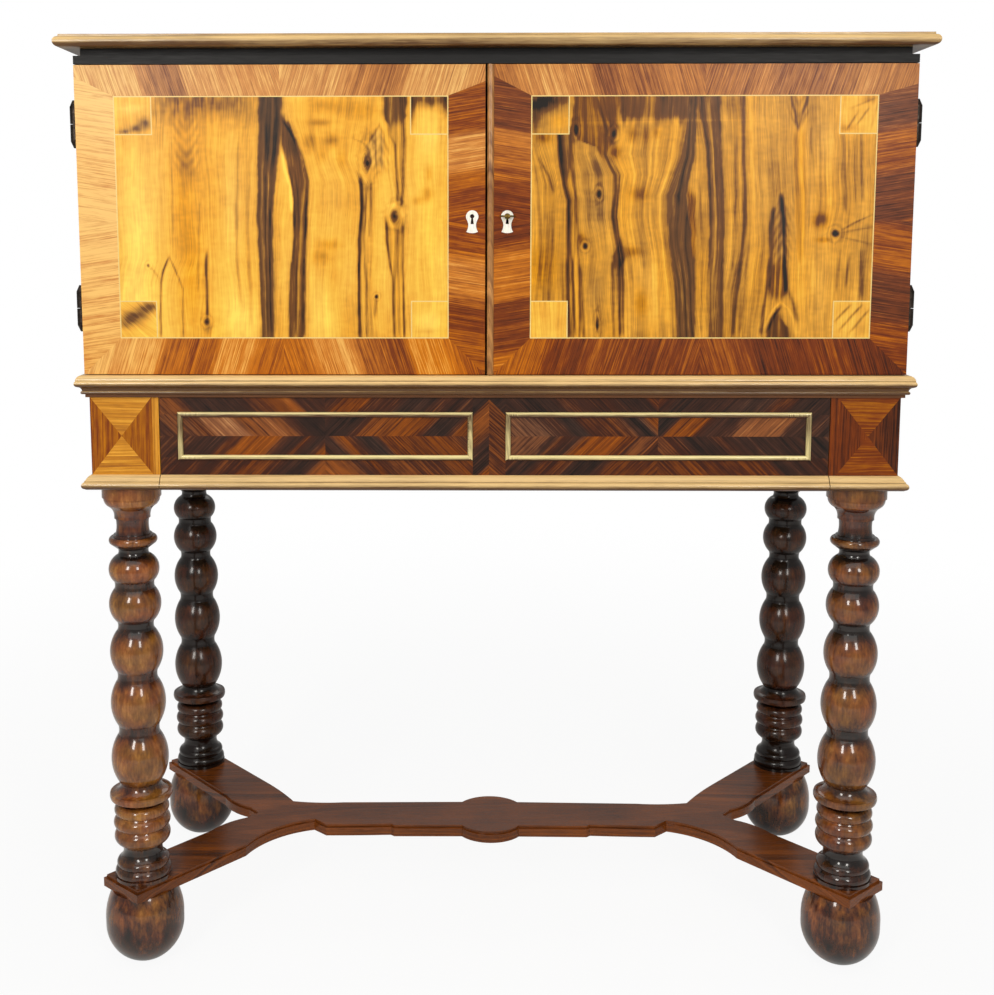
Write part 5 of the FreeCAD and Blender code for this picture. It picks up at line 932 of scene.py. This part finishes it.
class CABINET_OT_door_fields(bpy.types.Operator):
    """Lays the figured fields of both doors with their corner squares and stringing"""
    bl_idname = "cabinet.door_fields"
    bl_label = "Door fields"

    def execute(self, context):
        colours, sizes = context.scene.cabinet_colours, context.scene.cabinet_sizes
        # flat-sawn walnut with sapwood, scraped and waxed: golden ground, smoky heart, knots
        material = veneer("figured_walnut_veneer", [colours.veneer_black, colours.veneer_brown,
                                                    colours.veneer_gold, colours.veneer_pale],
                          stripe=1.3, spread=0.26, faded=0.98)
        # boxwood, planed to thin lines: pale and close-grained
        boxwood = wood("boxwood_stringing", "x", [c * 0.8 for c in colours.string], colours.string,
                       ring=1.5, pore=0.3)
        for side, (low, high), string, plan, base in (
                ("left", LEFT_FIELD, LEFT_STRING, LEFT_FIGURE, 0.76),
                ("right", RIGHT_FIELD, RIGHT_STRING, RIGHT_FIGURE, 0.60)):
            line = low.x - string[0].x
            near, far = low.x + SQUARE + line, high.x - SQUARE - line
            foot, head = low.z + SQUARE + line, high.z - SQUARE - line
            patches = [(low.x, foot, near, head), (near, low.z, far, high.z), (far, foot, high.x, head)]
            sheet_of_figure("field_" + side, patches, low.y, high.y, sizes.figure_step / MM, plan, base,
                            0.6,
                            material, "figured_walnut", side + "_door", "door_field_" + side)
            places = [(x, z) for x in (low.x, high.x - SQUARE) for z in (low.z, high.z - SQUARE)]
            for number, ((x, z), (tone, figure)) in enumerate(zip(places, SQUARE_FIGURES[side])):
                piece = sheet_of_figure("square_%s_%d" % (side, number), [(x, z, x + SQUARE, z + SQUARE)],
                                        low.y, high.y, sizes.figure_step / MM, moved(figure, x, z), tone,
                                        0.8,
                                        material, "figured_walnut", side + "_door")
                if number == 0:
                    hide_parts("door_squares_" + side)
            dress(boxwood, "door_stringing_" + side)
        return {"FINISHED"}


def moved(plan, x, z):
    """A plan of a square, drawn from its own lower left corner, at its place on the door."""
    def shift(path):
        """The points of a path, moved with the square."""
        return [(a + x, b + z) for a, b in path]

    placed_plan = dict(
        plan,
        guides=[shift(path) for path in plan["guides"]],
        bands=[(shift(left), shift(right), *rest) for left, right, *rest in plan["bands"]],
        lines=[(shift(path), *rest) for path, *rest in plan["lines"]])
    for kind in ("knots", "arches", "blooms"):
        placed_plan[kind] = [(a + x, b + z, *rest) for a, b, *rest in plan[kind]]
    return placed_plan


# Corner squares, 44 mm a side, from their lower left corner, in the order low left, high left,
# low right, high right: (ground tone, figure)

PLAIN = {"redness": 0.4, "streaks": 0.06, "guides": [[(22, 44), (22, 0)]], "bands": [], "lines": [],
         "knots": [], "arches": [], "blooms": []}
SQUARE_FIGURES = {
    "left": [
        (0.82, dict(PLAIN, guides=[[(-10, 44), (54, 0)]],
                    blooms=[(8, 20, 12, 9, -0.46, -0.2), (22, 28, 12, 8, -0.46, -0.2),
                            (36, 37, 12, 7, -0.46, -0.2)])),
        (0.74, dict(PLAIN, blooms=[(12, 3, 10, 3, -0.30, -0.2), (26, 7, 9, 4, -0.34, -0.2),
                                   (38, 13, 8, 6, -0.38, -0.2), (20, 30, 20, 6, 0.1, -0.3)])),
        (0.82, dict(PLAIN, blooms=[(22, 20, 16, 10, 0.08, -0.2), (22, 8, 18, 3, -0.10, 0)])),
        (0.80, dict(PLAIN, blooms=[(22, 41, 34, 10, -0.56, 0), (1, 26, 5, 16, -0.40, 0),
                                   (42, 30, 4, 12, -0.3, 0)])),
    ],
    "right": [
        (0.80, dict(PLAIN, blooms=[(14, 30, 8, 8, -0.06, 0), (34, 12, 8, 10, -0.08, 0)])),
        (0.54, dict(PLAIN, blooms=[(8, 36, 20, 14, -0.44, -0.2), (32, 40, 18, 8, -0.34, 0.1),
                                   (32, 14, 12, 10, 0.10, 0.3), (3, 18, 6, 14, -0.2, 0)])),
        (0.76, dict(PLAIN, lines=[([(2, 20), (20, 40)], 1.4, 0.3), ([(8, 10), (34, 40)], 1.4, 0.3),
                                  ([(20, 6), (43, 34)], 1.4, 0.26)],
                    blooms=[(6, 34, 8, 8, -0.08, 0), (34, 10, 8, 8, -0.1, 0)])),
        (0.72, dict(PLAIN, lines=[([(8, 4), (20, 24)], 1.2, 0.34), ([(20, 10), (34, 30)], 1.2, 0.34),
                                  ([(14, 30), (42, 42)], 1.2, 0.2), ([(38, 6), (43, 34)], 1.2, 0.2)],
                    blooms=[(8, 6, 10, 4, -0.22, 0.2), (34, 40, 8, 4, -0.2, 0.2)])),
    ],
}


# Tones of the drawer's herringbone along its middle line, as (x, tone, redness), for the two panels'
# upper and lower halves and for the borders; a leaf at x runs up or down from there at a slant

DRAWER_TONES = {
    "panel_upper": [
        (-366, 0.42, 0.6), (-357, 0.40, 0.8), (-352, 0.66, 0.5), (-308, 0.66, 0.4), (-300, 0.56, 0.8),
        (-256, 0.60, 0.6), (-246, 0.54, 0.8), (-240, 0.36, 0.6), (-226, 0.32, 0.6), (-222, 0.14, 0.3),
        (-186, 0.14, 0.3), (-180, 0.46, 0.8), (-120, 0.50, 0.9), (-90, 0.48, 0.9), (-84, 0.18, 0.2),
        (-62, 0.16, 0.2), (-56, 0.50, 0.9), (-32, 0.46, 0.9),
        (21, 0.44, 0.4), (72, 0.46, 0.3), (78, 0.26, 0.4), (84, 0.30, 0.4), (90, 0.34, 0.6),
        (104, 0.34, 0.6),
        (108, 0.10, 0.0), (120, 0.12, 0.0), (126, 0.34, 0.8), (165, 0.36, 0.8), (172, 0.44, 0.7),
        (184, 0.42, 0.8), (188, 0.12, 0.1), (204, 0.12, 0.1), (208, 0.50, 0.9), (252, 0.54, 1.0),
        (258, 0.22, 0.4), (276, 0.24, 0.5), (290, 0.36, 0.5), (304, 0.58, 0.6), (340, 0.66, 0.6),
        (352, 0.60, 0.6), (360, 0.28, 0.4), (391, 0.22, 0.3)],
    "panel_lower": [
        (-366, 0.30, 0.6), (-356, 0.16, 0.4), (-352, 0.34, 0.7), (-346, 0.14, 0.4), (-336, 0.16, 0.4),
        (-328, 0.44, 0.9), (-318, 0.30, 0.8), (-312, 0.60, 0.9), (-272, 0.64, 0.9), (-262, 0.58, 0.8),
        (-256, 0.24, 0.5), (-240, 0.24, 0.5), (-234, 0.40, 0.9), (-226, 0.38, 0.9), (-220, 0.16, 0.3),
        (-206, 0.16, 0.3), (-200, 0.56, 0.9), (-186, 0.52, 0.9), (-180, 0.28, 0.7), (-170, 0.26, 0.4),
        (-164, 0.16, 0.0), (-150, 0.18, 0.0), (-144, 0.44, 0.9), (-60, 0.48, 0.9), (-40, 0.36, 0.7),
        (21, 0.44, 0.5), (72, 0.46, 0.5), (78, 0.24, 0.4), (84, 0.22, 0.4), (88, 0.42, 0.8),
        (96, 0.30, 0.7),
        (104, 0.24, 0.5), (112, 0.22, 0.4), (118, 0.52, 0.9), (160, 0.54, 1.0), (170, 0.42, 0.9),
        (180, 0.40, 0.9), (186, 0.26, 0.6), (190, 0.50, 0.7), (206, 0.48, 0.7), (212, 0.28, 0.8),
        (232, 0.28, 0.7), (238, 0.14, 0.4), (268, 0.14, 0.4), (274, 0.34, 0.7), (292, 0.32, 0.7),
        (298, 0.18, 0.4), (391, 0.18, 0.4)],
    "border_upper": [
        (-420, 0.50, 0.7), (-390, 0.52, 0.8), (-380, 0.20, 0.4), (-318, 0.18, 0.4), (-306, 0.36, 0.7),
        (-272, 0.54, 0.9), (-246, 0.58, 0.8), (-238, 0.24, 0.6), (-208, 0.24, 0.6), (-200, 0.42, 0.9),
        (-164, 0.48, 1.0), (-158, 0.30, 0.7), (-120, 0.30, 0.7), (-112, 0.14, 0.2), (-80, 0.14, 0.3),
        (-72, 0.40, 0.7), (-60, 0.28, 0.6), (-26, 0.22, 0.5),
        (15, 0.18, 0.4), (80, 0.20, 0.3), (88, 0.36, 0.7), (104, 0.38, 0.7), (112, 0.20, 0.6),
        (136, 0.22, 0.7),
        (144, 0.36, 0.8), (152, 0.20, 0.6), (190, 0.16, 0.4), (200, 0.38, 0.9), (212, 0.30, 0.9),
        (224, 0.16, 0.4), (290, 0.22, 0.5), (312, 0.30, 0.2), (340, 0.26, 0.3), (352, 0.38, 0.8),
        (372, 0.36, 0.8), (380, 0.18, 0.3), (420, 0.16, 0.3)],
    "border_lower": [
        (-420, 0.30, 0.7), (-396, 0.28, 0.8), (-366, 0.24, 0.8), (-350, 0.26, 0.8), (-346, 0.52, 0.8),
        (-336, 0.30, 0.8), (-322, 0.34, 0.9), (-306, 0.48, 1.0), (-296, 0.28, 0.8), (-286, 0.50, 0.9),
        (-276, 0.24, 0.8), (-258, 0.20, 0.4), (-232, 0.20, 0.4), (-224, 0.54, 0.8), (-176, 0.60, 0.8),
        (-168, 0.28, 0.6), (-156, 0.26, 0.7), (-150, 0.46, 1.0), (-130, 0.34, 0.8), (-118, 0.44, 0.8),
        (-60, 0.40, 0.8), (-40, 0.44, 0.9), (-26, 0.46, 0.9),
        (15, 0.44, 0.8), (24, 0.18, 0.4), (50, 0.16, 0.4), (56, 0.36, 0.9), (88, 0.34, 0.8),
        (96, 0.16, 0.4),
        (132, 0.16, 0.4), (140, 0.38, 0.9), (252, 0.42, 0.9), (270, 0.36, 0.9), (350, 0.40, 0.9),
        (362, 0.20, 0.4), (420, 0.28, 0.7)],
}


class CABINET_OT_drawer_front(bpy.types.Operator):
    """Lays the herringbone of dark veneers on the drawer"""
    bl_idname = "cabinet.drawer_front"
    bl_label = "Drawer front"

    def execute(self, context):
        sizes = context.scene.cabinet_sizes
        # dark striped tropical veneer, scraped and waxed: near-black to orange stripes on the slant
        material = veneer("herringbone_veneer", [linear("#120905"), linear("#45220F"), linear("#95561F"),
                                                 linear("#D79A50")], stripe=1.3, spread=0.42)
        work = Marquetry(DRAWER_LOW.y, DRAWER_HIGH.y, 8)
        stick = 3
        x0, z0, x1, z1 = DRAWER_LOW.x, DRAWER_LOW.z, DRAWER_HIGH.x, DRAWER_HIGH.z
        p0, q0, p1, q1 = PANEL_LOW.x, PANEL_LOW.z, PANEL_HIGH.x, PANEL_HIGH.z
        left_end, right_start = -26, 15
        centre = (q0 + q1) / 2
        width = sizes.chevron / MM
        panels = ((p0, left_end, x0, left_end), (right_start, p1, right_start, x1))
        for low, high, reach_low, reach_high in panels:
            middle = (low + high) / 2
            for sign in (-1, 1):
                near, far = (low + stick, middle) if sign < 0 else (middle, high - stick)
                wide_near, wide_far = (reach_low, middle) if sign < 0 else (middle, reach_high)
                down = (1, sign)
                up = (1, -sign)
                line = ((near - 40, centre), (far + 40, centre))
                upper = [(near, centre), (far, centre), (far, q1 - stick), (near, q1 - stick)]
                lower = [(near, q0 + stick), (far, q0 + stick), (far, centre), (near, centre)]
                work.stripes(upper, line, down, DRAWER_TONES["panel_upper"], width, 1.0)
                work.stripes(lower, line, up, DRAWER_TONES["panel_lower"], width, 1.0)
                over = [(wide_near, q1 - stick), (wide_far, q1 - stick), (wide_far, z1), (wide_near, z1)]
                under = [(wide_near, z0), (wide_far, z0), (wide_far, q0 + stick), (wide_near, q0 + stick)]
                high_line = ((wide_near - 30, (q1 + z1) / 2), (wide_far + 30, (q1 + z1) / 2))
                low_line = ((wide_near - 30, (q0 + z0) / 2), (wide_far + 30, (q0 + z0) / 2))
                work.stripes(over, high_line, down, DRAWER_TONES["border_upper"], width, 1.0)
                work.stripes(under, low_line, up, DRAWER_TONES["border_lower"], width, 1.0)
        ends = ((x0, p0 + stick, -1, [(668, 0.28, 0.6), (700, 0.26, 0.6), (717, 0.30, 0.6),
                                      (724, 0.44, 0.6),
                                      (748, 0.48, 0.7), (766, 0.42, 0.7)]),
                (p1 - stick, x1, 1, [(668, 0.24, 0.6), (700, 0.14, 0.2), (716, 0.14, 0.2), (720, 0.42, 0.4),
                                     (734, 0.40, 0.4), (742, 0.18, 0.4), (766, 0.14, 0.4)]))
        for low, high, sign, tones in ends:
            line = (((low + high) / 2, q0), ((low + high) / 2, q1))
            upper = [(low, centre), (high, centre), (high, q1 - stick), (low, q1 - stick)]
            lower = [(low, q0 + stick), (high, q0 + stick), (high, centre), (low, centre)]
            work.stripes(upper, line, (1, sign), tones, width, 1.0)
            work.stripes(lower, line, (1, -sign), tones, width, 1.0)
        # the strip between the panels: leaves meet in points one over the other
        low, high, middle = left_end, right_start, (left_end + right_start) / 2
        tip = z1 - 2
        shoulder = tip - (middle - low)
        left_half = [(low, z0), (middle, z0), (middle, tip), (low, shoulder)]
        right_half = [(middle, z0), (high, z0), (high, shoulder), (middle, tip)]
        left_tones = [(668, 0.58, 0.9), (680, 0.54, 0.9), (684, 0.16, 0.4), (716, 0.18, 0.4),
                      (722, 0.52, 0.8),
                      (790, 0.52, 0.8)]
        right_tones = [(668, 0.50, 0.8), (700, 0.40, 0.8), (790, 0.44, 0.8)]
        work.stripes(left_half, ((middle, z0), (middle, z1 + 20)), (1, 0.9), left_tones, 4, 1.2)
        work.stripes(right_half, ((middle, z0), (middle, z1 + 20)), (1, -0.9), right_tones, 4, 1.2)
        dark = [(600, 0.16, 0.3), (800, 0.16, 0.3)]
        for corner in ([(low, shoulder), (middle, tip), (middle, z1), (low, z1)],
                       [(middle, tip), (high, shoulder), (high, z1), (middle, z1)]):
            work.stripes(corner, ((middle, z0), (middle, z1 + 20)), (1, 0.9), dark, 9, 0.6)
        work.built("drawer_herringbone", material, "dark_veneer", "drawer", "drawer_veneers")
        return {"FINISHED"}


# width of the quartered squares on the posts and of the plain bands beside them, in mm
POST_SQUARE, POST_BAND = 78, 8.5


class CABINET_OT_post_squares(bpy.types.Operator):
    """Lays the quartered squares and plain bands on the two front posts"""
    bl_idname = "cabinet.post_squares"
    bl_label = "Post squares"

    def execute(self, context):
        colours = context.scene.cabinet_colours
        # olive-coloured walnut, quartered round the middle of each square and waxed
        material = veneer("quartered_veneer", [colours.band_dark, colours.band_red, linear("#C8852E"),
                                               linear("#F0B04A")], stripe=1.3, faded=1.0)
        work = Marquetry(POST_LOW.y, POST_HIGH.y, 12)
        z0, z1 = POST_LOW.z, POST_HIGH.z
        middle_z = (z0 + z1) / 2
        for sign, flat_tone, left_tone, right_tone, band_tone in (
                (-1, (0.72, 0.3), (0.42, 0.8), (0.50, 0.7), (0.72, 0.3)),
                (1, (0.38, 0.8), (0.17, 0.8), (0.12, 0.6), (0.26, 0.8))):
            outer = POST_LOW.x if sign < 0 else POST_HIGH.x
            inner = outer - sign * POST_SQUARE
            past = inner - sign * POST_BAND
            low, high = min(outer, inner), max(outer, inner)
            centre = (low + high) / 2
            corners = [(low, z0), (high, z0), (high, z1), (low, z1)]
            heart = (centre, middle_z)
            level = ((centre, z0), (centre, z1))
            upright = ((low, middle_z), (high, middle_z))
            flat = [(0, *flat_tone), (2000, *flat_tone)]
            for number, (line, way, tones) in enumerate((
                    (level, (1, 0.02), flat), (upright, (0.02, 1),
                                               [(-600, *right_tone), (600, *right_tone)]),
                    (level, (1, -0.02), flat), (upright, (0.02, 1),
                                                [(-600, *left_tone), (600, *left_tone)]))):
                triangle = [corners[number], corners[(number + 1) % 4], heart]
                work.stripes(triangle, line, way, tones, 5, 1.2, jitter=0.09)
            near, far = min(inner, past), max(inner, past)
            band = [(near, z0), (far, z0), (far, z1), (near, z1)]
            work.stripes(band, ((near, middle_z), (far, middle_z)), (0.01, 1),
                         [(-600, *band_tone), (600, *band_tone)], 3, 1.0, jitter=0.08)
        work.built("post_quartering", material, "banding", "cabinet", "post_veneers")
        return {"FINISHED"}


class CABINET_OT_mouldings(bpy.types.Operator):
    """Finishes the mouldings, the top board and the black cornice"""
    bl_idname = "cabinet.mouldings"
    bl_label = "Mouldings and top"

    def execute(self, context):
        colours = context.scene.cabinet_colours
        # fruitwood planed with moulding planes and waxed: straight fine grain, warm shine
        # painted light from above pales their up-facing faces and darkens the down-facing ones, and painted
        # shade darkens the lowest 7 mm of the waist moulding
        for name, way, painted_height_shade in (("plinth_moulding", "mitred", None), ("drawer_moulding", "x", None),
                                ("waist_moulding", "mitred",
                                 (WAIST_FOOT + 7, WAIST_FOOT + 10, -0.5, 0.02))):
            dress(wood("fruitwood_" + name, way, colours.moulding_dark, colours.moulding, ring=2.2,
                       polish=0.28, coat=0.3, contrast=0.85, painted_top_light=0.34, painted_height_shade=painted_height_shade), name)
        # the bead between the doors has kept more of its brown polish
        dress(wood("polished_bead", "z", linear("#5A3018"), linear("#D79A58"), ring=2, polish=0.26,
                   coat=0.3), "meeting_bead")
        # solid walnut plank, planed, rounded and waxed: long broad grain
        # painted light from above pales its up-facing faces and darkens the down-facing ones
        dress(wood("walnut_top_board", "x", colours.moulding_dark, colours.moulding, ring=6, polish=0.30,
                   coat=0.2, contrast=0.85, painted_top_light=0.2), "top_board")
        # boxwood-like mouldings round the drawer's panels: painted light from above pales their up-facing
        # faces and darkens the down-facing ones, and painted shade makes the upper sticks darker and the
        # lower ones paler
        dress(wood("pale_frame_moulding", "framed", linear("#4E2E1A"), colours.frame_pale, ring=1.6,
                   polish=0.28, coat=0.3, painted_top_light=0.40,
                   painted_height_shade=(PANEL_LOW.z + 20, PANEL_HIGH.z - 20, 0.12, -0.12)), "drawer_frames")
        # pear stained black and waxed: grain only shows in the shine
        dress(wood("ebonised_pear", "x", [c * 0.5 for c in colours.ebonised], colours.ebonised, ring=2,
                   polish=0.5), "cornice_front", "cornice_returns")
        return {"FINISHED"}


class CABINET_OT_stand(bpy.types.Operator):
    """Finishes the turned legs, the ball feet and the stretcher"""
    bl_idname = "cabinet.stand"
    bl_label = "Legs, feet and stretcher"

    def execute(self, context):
        colours = context.scene.cabinet_colours
        shades = [colours.turned_dark, colours.turned_brown, colours.turned_gold, colours.turned_worn]
        # walnut turned on a lathe and polished with shellac: deep gloss, hollows darkened partly as painted
        # shade, golden bulbs
        dress(turnery("turned_walnut_gold", shades, 0.0, 1.2), "leg_front_left")
        dress(turnery("turned_walnut_red", shades, -0.12, 1.2), "leg_front_right")
        dress(turnery("turned_walnut_feet", shades, 0.14, 1.8), "ball_feet")
        # the rear legs are a shaded copy of the turnings: nearly black, as painted shade
        dress(turnery("turned_walnut_painted_shade", shades, -0.40, coat=0.5), "leg_rear_left", "leg_rear_right")
        # walnut boards, sawn to shape and polished: long grain, brown and even
        dress(wood("walnut_stretcher", "x", linear("#2E1205"), linear("#965018"), ring=5, polish=0.22,
                   coat=0.1, contrast=1.2), "stretcher_bar", "stretcher_arms")
        return {"FINISHED"}


class CABINET_OT_carcass(bpy.types.Operator):
    """Finishes the case, the posts and rails, and the plain boards inside"""
    bl_idname = "cabinet.carcass"
    bl_label = "Case and carcass"

    def execute(self, context):
        colours = context.scene.cabinet_colours
        pale = colours.case
        dark = [c * 0.35 for c in pale]
        # walnut boards, planed and waxed: long cathedral grain on the sides
        dress(wood("walnut_case_upright", "z", dark, pale, ring=7, polish=0.36, coat=0.15),
              "case_side_left", "case_side_right", "rear_posts")
        dress(wood("walnut_case_rails", "y", dark, pale, ring=6, polish=0.36, coat=0.15), "side_rails")
        dress(wood("walnut_platform", "mitred", dark, pale, ring=6, polish=0.36, coat=0.15), "platform")
        dress(wood("walnut_back_rail", "x", dark, pale, ring=6, polish=0.5), "back_rail")
        plain = colours.carcass
        deep = [c * 0.5 for c in plain]
        # poplar left from the plane, gone brown with age: dull, with slow grain
        dress(wood("poplar_boards", "x", deep, plain, ring=5, polish=0.6), "case_back", "case_bottom",
              "case_top", "shelf", "drawer_back", "drawer_bottom", "drawer_front")
        dress(wood("poplar_rails", "y", deep, plain, ring=5, polish=0.6), "shelf_bearers", "drawer_runners",
              "drawer_sides")
        dress(wood("poplar_uprights", "z", deep, plain, ring=5, polish=0.6), "door_core_left",
              "door_core_right", "front_post_left", "front_post_right")
        return {"FINISHED"}


class CABINET_OT_fittings(bpy.types.Operator):
    """Finishes hinges, lock, bolts, screws, key and escutcheons"""
    bl_idname = "cabinet.fittings"
    bl_label = "Fittings"

    def execute(self, context):
        colours = context.scene.cabinet_colours
        # wrought iron, filed and blackened with age: dark, with brown worn patches
        iron = metal("wrought_iron", colours.iron, [c * 0.35 for c in colours.iron], 0.42, 0.9, 6)
        dress(iron, "hinge_leaves_case", "hinge_leaves_left", "hinge_leaves_right", "lock_case",
              "lock_keep",
              "lock_bolt", "bolt_guides", "top_bolt", "bottom_bolt")
        # steel screws, turned and oiled: brighter than the wrought parts
        steel = metal("oiled_steel", [c * 1.8 for c in colours.iron], colours.iron, 0.34, 1.0, 3)
        dress(steel, "case_screws", "left_door_screws", "right_door_screws")
        # cast brass, filed and dulled by hands
        dress(metal("cast_brass", colours.brass, [c * 0.5 for c in colours.brass], 0.32, 1.0, 8), "key")
        # bone, sawn and rubbed smooth: cream with faint straight pores
        material, tree = started("sawn_bone")
        place = add(tree, "ShaderNodeTexCoord").outputs["Object"]
        drawn = add(tree, "ShaderNodeMapping", {"Vector": place, "Scale": (1, 1, 0.12)}).outputs[0]
        pores = add(tree, "ShaderNodeTexNoise", {"Vector": drawn, "Scale": 900, "Detail": 3}).outputs[0]
        shade = add(tree, "ShaderNodeValToRGB", {0: pores},
                    [(0.3, [c * 0.8 for c in colours.bone]), (0.6, colours.bone[:])]).outputs[0]
        bump = add(tree, "ShaderNodeBump", {"Height": pores, "Strength": 0.1,
                                            "Distance": 0.2 * MM}).outputs[0]
        surface = add(tree, "ShaderNodeBsdfPrincipled", {
            "Base Color": shade, "Roughness": 0.42, "IOR": 1.54, "Normal": bump,
            "Subsurface Weight": 0.1, "Subsurface Scale": 1 * MM})
        finished(tree, surface)
        dress(material, "escutcheon_left", "escutcheon_right")
        return {"FINISHED"}


def seen_as_white(tree):
    """One for rays from the camera or through glass, and an eighth for what polish reflects."""
    rays = add(tree, "ShaderNodeLightPath").outputs
    direct = add(tree, "ShaderNodeMath", {0: rays["Is Camera Ray"], 1: rays["Is Transmission Ray"]},
                 operation="MAXIMUM").outputs[0]
    return add(tree, "ShaderNodeMath", {0: rays["Is Glossy Ray"], 1: 0.12, 2: direct},
               operation="MULTIPLY_ADD", use_clamp=True).outputs[0]


# where the camera of the photo stands, in metres
CAMERA_PLACE = (-0.0256, -1.8795, 0.9796)


class CABINET_OT_stage(bpy.types.Operator):
    """Sets the floor, the lamps, the pale surroundings and the camera"""
    bl_idname = "cabinet.stage"
    bl_label = "Stage"

    def execute(self, context):
        scene, stage = context.scene, context.scene.cabinet_stage
        reach = 30
        mesh = bpy.data.meshes.new("floor")
        mesh.from_pydata([(-reach, -reach, 0), (reach, -reach, 0), (reach, reach, 0), (-reach, reach, 0)],
                         [],
                         [(0, 1, 2, 3)])
        floor = bpy.data.objects.new("floor", mesh)
        scene.collection.objects.link(floor)
        # smooth painted floor that fades into the pale surroundings
        material, tree = started("painted_floor")
        place = add(tree, "ShaderNodeTexCoord").outputs["Object"]
        away = add(tree, "ShaderNodeVectorMath", {0: place}, operation="LENGTH").outputs["Value"]
        seen = seen_as_white(tree)
        fade = add(tree, "ShaderNodeMapRange", {"Value": away, "From Min": 0.5, "From Max": 2.6,
                                                "To Min": 0.92}, interpolation_type="SMOOTHSTEP").outputs[0]
        share = add(tree, "ShaderNodeMath", {0: fade, 1: seen}, operation="MULTIPLY").outputs[0]
        speck = add(tree, "ShaderNodeTexNoise", {"Vector": place, "Scale": 6, "Detail": 3}).outputs[0]
        pale = add(tree, "ShaderNodeMix", {0: speck, 6: (*[c * 0.98 for c in stage.floor], 1),
                                           7: (*stage.floor, 1)}, data_type="RGBA").outputs[2]
        paint = add(tree, "ShaderNodeBsdfPrincipled", {"Base Color": pale, "Roughness": 0.8})
        glow = add(tree, "ShaderNodeEmission", {"Color": (1, 1, 1, 1), "Strength": 1.0})
        both = add(tree, "ShaderNodeMixShader", {0: share, 1: paint.outputs[0], 2: glow.outputs[0]})
        finished(tree, both)
        mesh.materials.append(material)

        world = bpy.data.worlds.new("pale_surroundings")
        world.use_nodes = True
        tree = world.node_tree
        tree.nodes.clear()
        seen = seen_as_white(tree)
        dim = add(tree, "ShaderNodeBackground", {"Color": (1, 0.99, 0.97, 1), "Strength": 0.26})
        white = add(tree, "ShaderNodeBackground", {"Color": (1, 1, 1, 1), "Strength": 1.0})
        both = add(tree, "ShaderNodeMixShader", {0: seen, 1: dim.outputs[0], 2: white.outputs[0]})
        add(tree, "ShaderNodeOutputWorld", {"Surface": both.outputs[0]})
        scene.world = world

        aim = Vector((0, 0, 0.75))
        lamps = [
            ("overhead_lamp", (-0.2, -1.5, 3.2), 3.4, 2.4, stage.lamp * 1.4),
            ("left_window", (-1.1, -2.4, 1.65), 0.45, 1.0, stage.lamp * 1.3),
            ("right_window", (0.9, -2.5, 1.65), 0.45, 1.0, stage.lamp * 1.05),
            ("back_fill", (0.4, 2.6, 2.6), 2.0, 1.5, stage.lamp * 0.6),
        ]
        for name, place, wide, high, power in lamps:
            light = bpy.data.lights.new(name, "AREA")
            light.shape, light.size, light.size_y, light.energy = "RECTANGLE", wide, high, power
            light.color = (1, 0.97, 0.92)
            lamp = bpy.data.objects.new(name, light)
            lamp.location = place
            lamp.rotation_euler = (aim - Vector(place)).to_track_quat("-Z", "Y").to_euler()
            scene.collection.objects.link(lamp)

        lens = bpy.data.cameras.new("photo_view")
        lens.sensor_width, lens.lens = 36, 36 * 1331.2 / 995
        lens.shift_x, lens.shift_y = 41.1 / 995, -97.5 / 995
        lens.clip_start, lens.clip_end = 0.05, 100
        camera = bpy.data.objects.new("photo_view", lens)
        ahead = Vector((math.sin(stage.turn) * math.cos(stage.tilt),
                        math.cos(stage.turn) * math.cos(stage.tilt),
                        -math.sin(stage.tilt)))
        right = Vector((math.cos(stage.turn), -math.sin(stage.turn), 0))
        down = ahead.cross(right)
        side = math.cos(stage.roll) * right + math.sin(stage.roll) * down
        drop = -math.sin(stage.roll) * right + math.cos(stage.roll) * down
        camera.matrix_world = Matrix.Translation(CAMERA_PLACE) @ Matrix(
            (side, -drop, -ahead)).transposed().to_4x4()
        scene.collection.objects.link(camera)
        scene.camera = camera
        scene.view_settings.view_transform = "Standard"
        return {"FINISHED"}


STEPS = ("door_borders", "door_fields", "drawer_front", "post_squares", "mouldings", "stand", "carcass",
         "fittings", "stage")


class CABINET_PT_steps(bpy.types.Panel):
    """The steps that dress the cabinet, with its colours and sizes"""
    bl_idname = "CABINET_PT_steps"
    bl_label = "Cabinet"
    bl_space_type = "VIEW_3D"
    bl_region_type = "UI"
    bl_category = "Cabinet"

    def draw(self, context):
        for step in STEPS:
            self.layout.operator("cabinet." + step)
        for group in (context.scene.cabinet_sizes, context.scene.cabinet_colours,
                      context.scene.cabinet_stage):
            for name in group.__annotations__:
                self.layout.prop(group, name)


CLASSES = (
    CabinetColours, CabinetSizes, CabinetStage, CABINET_OT_door_borders, CABINET_OT_door_fields,
    CABINET_OT_drawer_front, CABINET_OT_post_squares, CABINET_OT_mouldings, CABINET_OT_stand,
    CABINET_OT_carcass, CABINET_OT_fittings, CABINET_OT_stage, CABINET_PT_steps,
)


def register():
    for kind in CLASSES:
        bpy.utils.register_class(kind)
    bpy.types.Scene.cabinet_colours = bpy.props.PointerProperty(type=CabinetColours)
    bpy.types.Scene.cabinet_sizes = bpy.props.PointerProperty(type=CabinetSizes)
    bpy.types.Scene.cabinet_stage = bpy.props.PointerProperty(type=CabinetStage)


def unregister():
    del bpy.types.Scene.cabinet_stage, bpy.types.Scene.cabinet_sizes, bpy.types.Scene.cabinet_colours
    for kind in reversed(CLASSES):
        bpy.utils.unregister_class(kind)


def main():
    register()
    for step in STEPS:
        getattr(bpy.ops.cabinet, step)()
    bpy.context.view_layer.update()
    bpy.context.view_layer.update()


if __name__ == "__main__":
    main()
